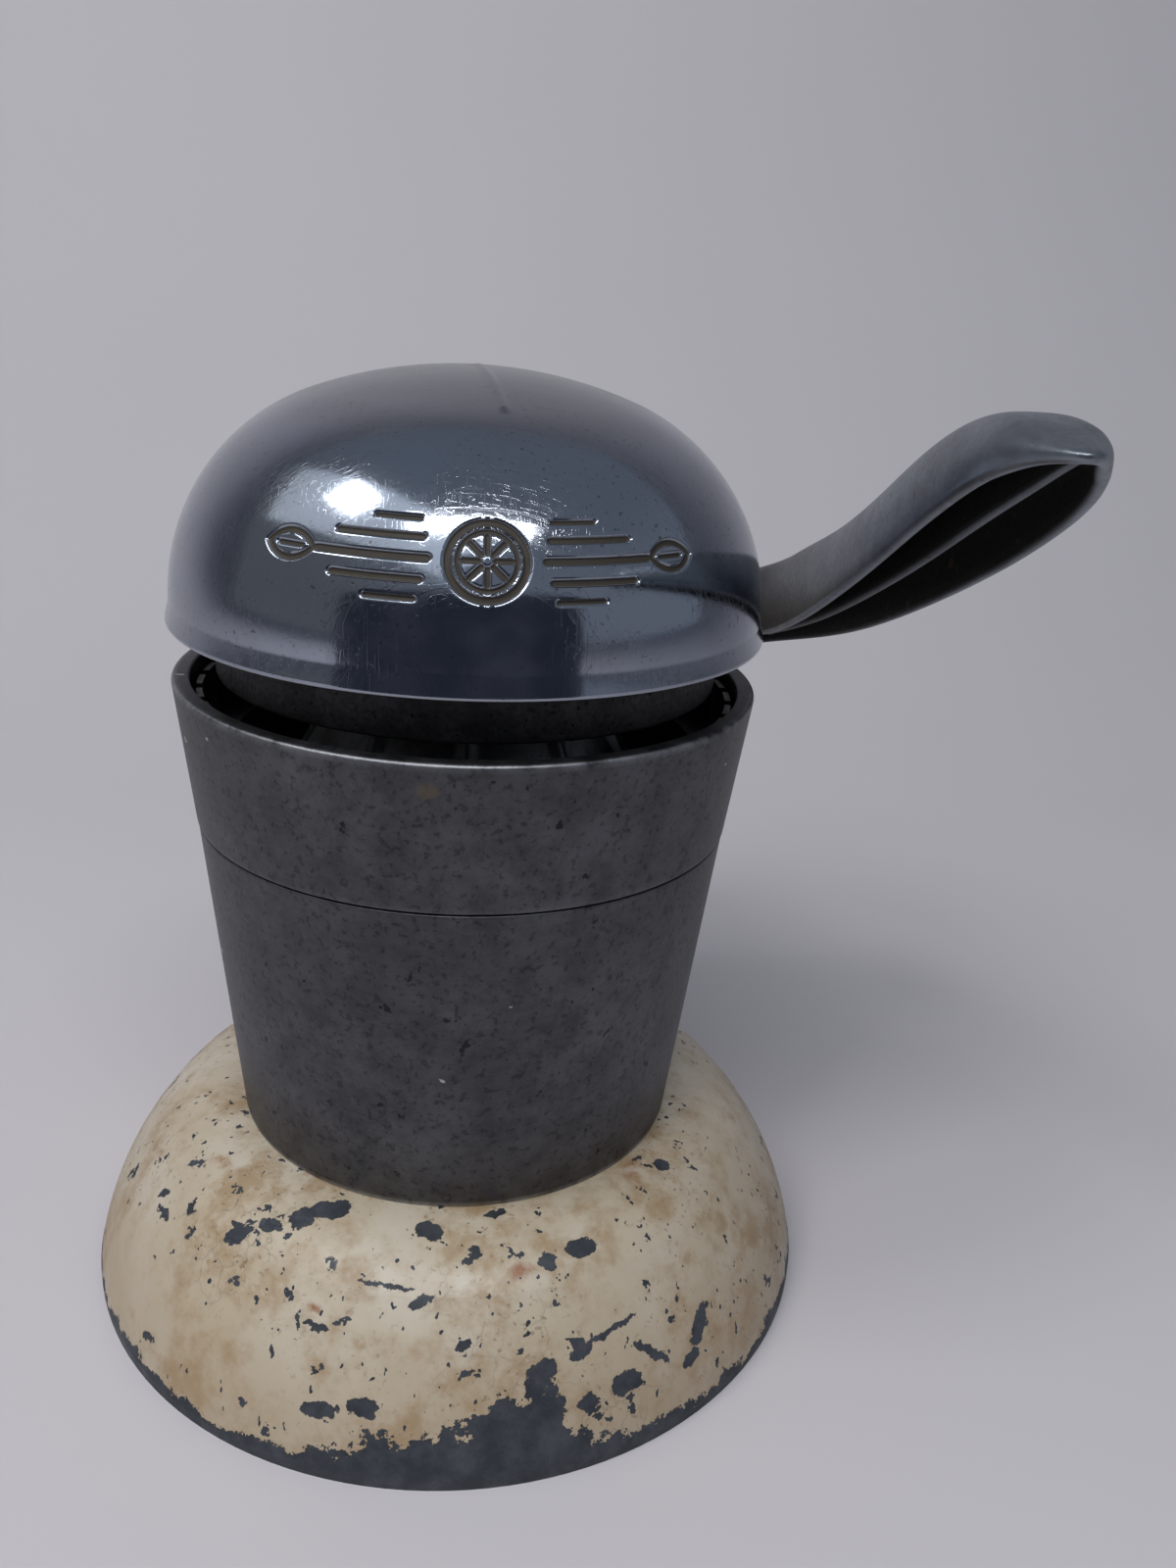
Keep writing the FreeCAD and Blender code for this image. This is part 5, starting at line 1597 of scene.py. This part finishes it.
@dataclass
class Studio:
    """The pale sweep, the soft lights, the room and the camera. Lengths here are metres, but the
    camera's lens and sensor are millimetres."""

    lens: float = 29.765
    camera_place: tuple[float, float, float] = (0.0, -0.258445, 0.206730)
    yaw: float = 5.7375
    pitch: float = 20.4854
    roll: float = 3.5458
    bend_start: float = 0.26
    bend_radius: float = 0.62
    aim: tuple[float, float, float] = (0.0, 0.0, 0.165)
    reach: float = 9.0
    wall_top: float = 2.05
    card_place: float = -0.31
    card_sides: tuple[float, float] = (-0.315, 0.235)
    card_top: float = 0.285
    room_walls: Colour = (0.42, 0.46, 0.54)
    room_ceiling: Colour = (0.31, 0.36, 0.44)
    room_left: Colour = (0.28, 0.29, 0.31)
    room_strength: float = 0.62
    sensor: float = 36.0
    nearest_seen: float = 0.01
    lamps: tuple[Lamp, ...] = (
        Lamp("ceiling_panel", -2, 55, 1.25, 0.86, 0.14, 6.5, (1.0, 0.99, 0.98)),
        Lamp("side_panel", -72, 53, 1.25, 0.30, 0.24, 3.0),
        Lamp("window_glow", -52, 50, 1.30, 2.00, 0.60, 3.0, (0.90, 0.95, 1.0)),
        Lamp("key_panel", -42, 40, 1.60, 0.45, 0.45, 7.6, glossy=False),
    )

    def sweep(self) -> None:
        """The floor runs flat to the bend, follows a quarter circle and goes on as a wall: each
        row of the surface is one place on that line, and each column one place across."""
        turn = np.radians(np.linspace(0, 90, 49))
        bend = self.bend_start + self.bend_radius * np.sin(turn)
        back = np.concatenate([[-self.reach, -1.0, 0.0], bend, bend[-1:]])
        up = np.concatenate([[0, 0, 0], self.bend_radius * (1 - np.cos(turn)), [self.wall_top]])
        across = np.linspace(-self.reach, self.reach, 13)
        grid = np.stack(np.broadcast_arrays(across[None], back[:, None], up[:, None]), axis=-1)
        skin = skin_of_grid(grid, False, False)
        mesh = bpy.data.meshes.new("studio_sweep")
        mesh.from_pydata(skin.points.tolist(), [], skin.quads.tolist())
        mesh.shade_smooth()
        shader = Shader("pale_paper")
        tone = shader.mix(shader.noise(2.5, 3), (0.520, 0.498, 0.520), (0.555, 0.532, 0.552))
        mesh.materials.append(shader.finish(Base_Color=tone, Roughness=0.6))
        self.stand_in("studio_sweep", mesh)

    def stand_in(self, name: str, mesh: bpy.types.Mesh) -> bpy.types.Object:
        """Puts a surface in the studio.

        Args:
            name: the surface's name.
            mesh: its mesh.

        Returns:
            Its object.
        """
        made = bpy.data.objects.new(name, mesh)
        bpy.context.scene.collection.objects.link(made)
        return made

    def card(self) -> None:
        """A dark card in front, seen in polished metal alone: one upright rectangle."""
        low, high = self.card_sides
        mesh = bpy.data.meshes.new("dark_card")
        mesh.from_pydata([(low, self.card_place, 0.0), (high, self.card_place, 0.0),
                          (high, self.card_place, self.card_top),
                          (low, self.card_place, self.card_top)], [], [(0, 1, 2, 3)])
        shader = Shader("dark_cloth")
        tone = shader.mix(shader.spread(shader.noise(9, 4), 0.4, 0.65), (0.080, 0.095, 0.130),
                          (0.170, 0.180, 0.220))
        mesh.materials.append(shader.finish(Base_Color=tone, Roughness=0.9))
        made = self.stand_in("dark_card", mesh)
        made.visible_camera = made.visible_diffuse = made.visible_shadow = False

    def light(self) -> None:
        """Hangs each lamp on its direction from the head, facing the head."""
        for lamp in self.lamps:
            azimuth, elevation = math.radians(lamp.azimuth), math.radians(lamp.elevation)
            away = Vector((math.sin(azimuth) * math.cos(elevation),
                           -math.cos(azimuth) * math.cos(elevation), math.sin(elevation)))
            data = bpy.data.lights.new(lamp.name, "AREA")
            data.shape, data.size, data.size_y = "RECTANGLE", lamp.width, lamp.height
            data.energy, data.color = lamp.power, lamp.colour
            hung = bpy.data.objects.new(lamp.name, data)
            bpy.context.scene.collection.objects.link(hung)
            hung.location = Vector(self.aim) + away * lamp.distance
            hung.rotation_euler = away.to_track_quat("Z", "Y").to_euler()
            hung.visible_glossy = lamp.glossy

    def room(self) -> None:
        """The room around, by direction: bluish walls, a dimmer ceiling and a grey left side."""
        world = bpy.data.worlds.new("room")
        bpy.context.scene.world = world
        world.use_nodes = True
        sums = Sums(world.node_tree, "Generated")
        x, _, z = sums.split(sums.place)
        tone = sums.mix(sums.spread(z, 0.35, 0.75), self.room_walls, self.room_ceiling)
        tone = sums.mix(sums.spread(x, -0.2, -0.9), tone, self.room_left)
        sky = world.node_tree.nodes["Background"]
        sums.feed(sky.inputs["Color"], tone)
        sky.inputs["Strength"].default_value = self.room_strength

    def camera(self) -> None:
        """The camera looks along its yaw and pitch, and rolls about that line."""
        yaw, pitch, roll = (math.radians(turn) for turn in (self.yaw, self.pitch, self.roll))
        ahead = Vector((math.sin(yaw) * math.cos(pitch), math.cos(yaw) * math.cos(pitch),
                        -math.sin(pitch)))
        level = Vector((math.cos(yaw), -math.sin(yaw), 0.0))
        above = level.cross(ahead)
        right = level * math.cos(roll) + above * math.sin(roll)
        up = above * math.cos(roll) - level * math.sin(roll)
        data = bpy.data.cameras.new("camera")
        data.lens, data.sensor_width, data.clip_start = self.lens, self.sensor, self.nearest_seen
        seen = bpy.data.objects.new("camera", data)
        bpy.context.scene.collection.objects.link(seen)
        seen.matrix_world = Matrix.Translation(self.camera_place) @ Matrix(
            (right, up, -ahead)).transposed().to_4x4()
        bpy.context.scene.camera = seen

    def build(self) -> None:
        """Makes the whole studio."""
        bpy.context.scene.view_settings.view_transform = "Standard"
        self.sweep()
        self.card()
        self.light()
        self.room()
        self.camera()


def finishes() -> dict[Slot, bpy.types.Material]:
    """Builds the material of each slot.

    Returns:
        The materials by slot.
    """
    metals = {
        Slot.ROUGH: AgedMetal("rough_cast_aluminium", light=(0.095, 0.092, 0.092),
                              dark=(0.040, 0.039, 0.040), roughness=0.50, cloud_scale=90.0,
                              speck_scale=700.0, speck_share=0.45, grain=0.00022),
        Slot.STRAINER: AgedMetal("strainer_sheet", light=(0.105, 0.102, 0.098),
                                 dark=(0.045, 0.042, 0.038), roughness=0.38, cloud_scale=70.0,
                                 speck_scale=800.0, grain=0.00003),
        Slot.CONE: AgedMetal("cast_cone_aluminium", light=(0.40, 0.40, 0.40),
                             dark=(0.22, 0.215, 0.21), roughness=0.34, speck_scale=600.0,
                             speck_share=0.34, grain=0.00006),
        Slot.STEEL: AgedMetal("oiled_steel", light=(0.36, 0.35, 0.34), dark=(0.17, 0.16, 0.15),
                              roughness=0.28, cloud_scale=120.0, grain=0.00002),
        Slot.ZINC: AgedMetal("zinc_plate", light=(0.50, 0.50, 0.49), dark=(0.28, 0.27, 0.25),
                             roughness=0.34, cloud_scale=160.0, grain=0.00002),
        Slot.BRONZE: AgedMetal("sintered_bronze", light=(0.46, 0.29, 0.13),
                               dark=(0.22, 0.13, 0.06), roughness=0.42, cloud_scale=200.0,
                               speck_scale=1400.0, speck_share=0.40, grain=0.00003),
    }
    made = {slot: metal.material() for slot, metal in metals.items()}
    made[Slot.ENAMEL] = ChippedEnamel(name="column_enamel", bare_underside=False, chips=(
        Chip(-177, 36, 7, 4, 0.4), Chip(172, 33, 6, 3, -0.3))).material()
    made[Slot.DULL] = DullAluminium().material()
    made[Slot.POLISHED] = PolishedDome().material()
    made[Slot.LEVER] = LeverCast().material()
    return made


def main() -> None:
    """Builds the press and its studio."""
    logging.basicConfig(level=logging.INFO, format="%(message)s")
    dressed = finishes()
    BellBase().dress()
    Vessel().build(dressed[Slot.DULL])
    RibbedCone().build(dressed[Slot.CONE])
    Head().build(dressed[Slot.POLISHED], dressed[Slot.ROUGH])
    Lever().build(dressed[Slot.LEVER])
    Works().dress(dressed)
    Studio().build()


if __name__ == "__main__":
    main()
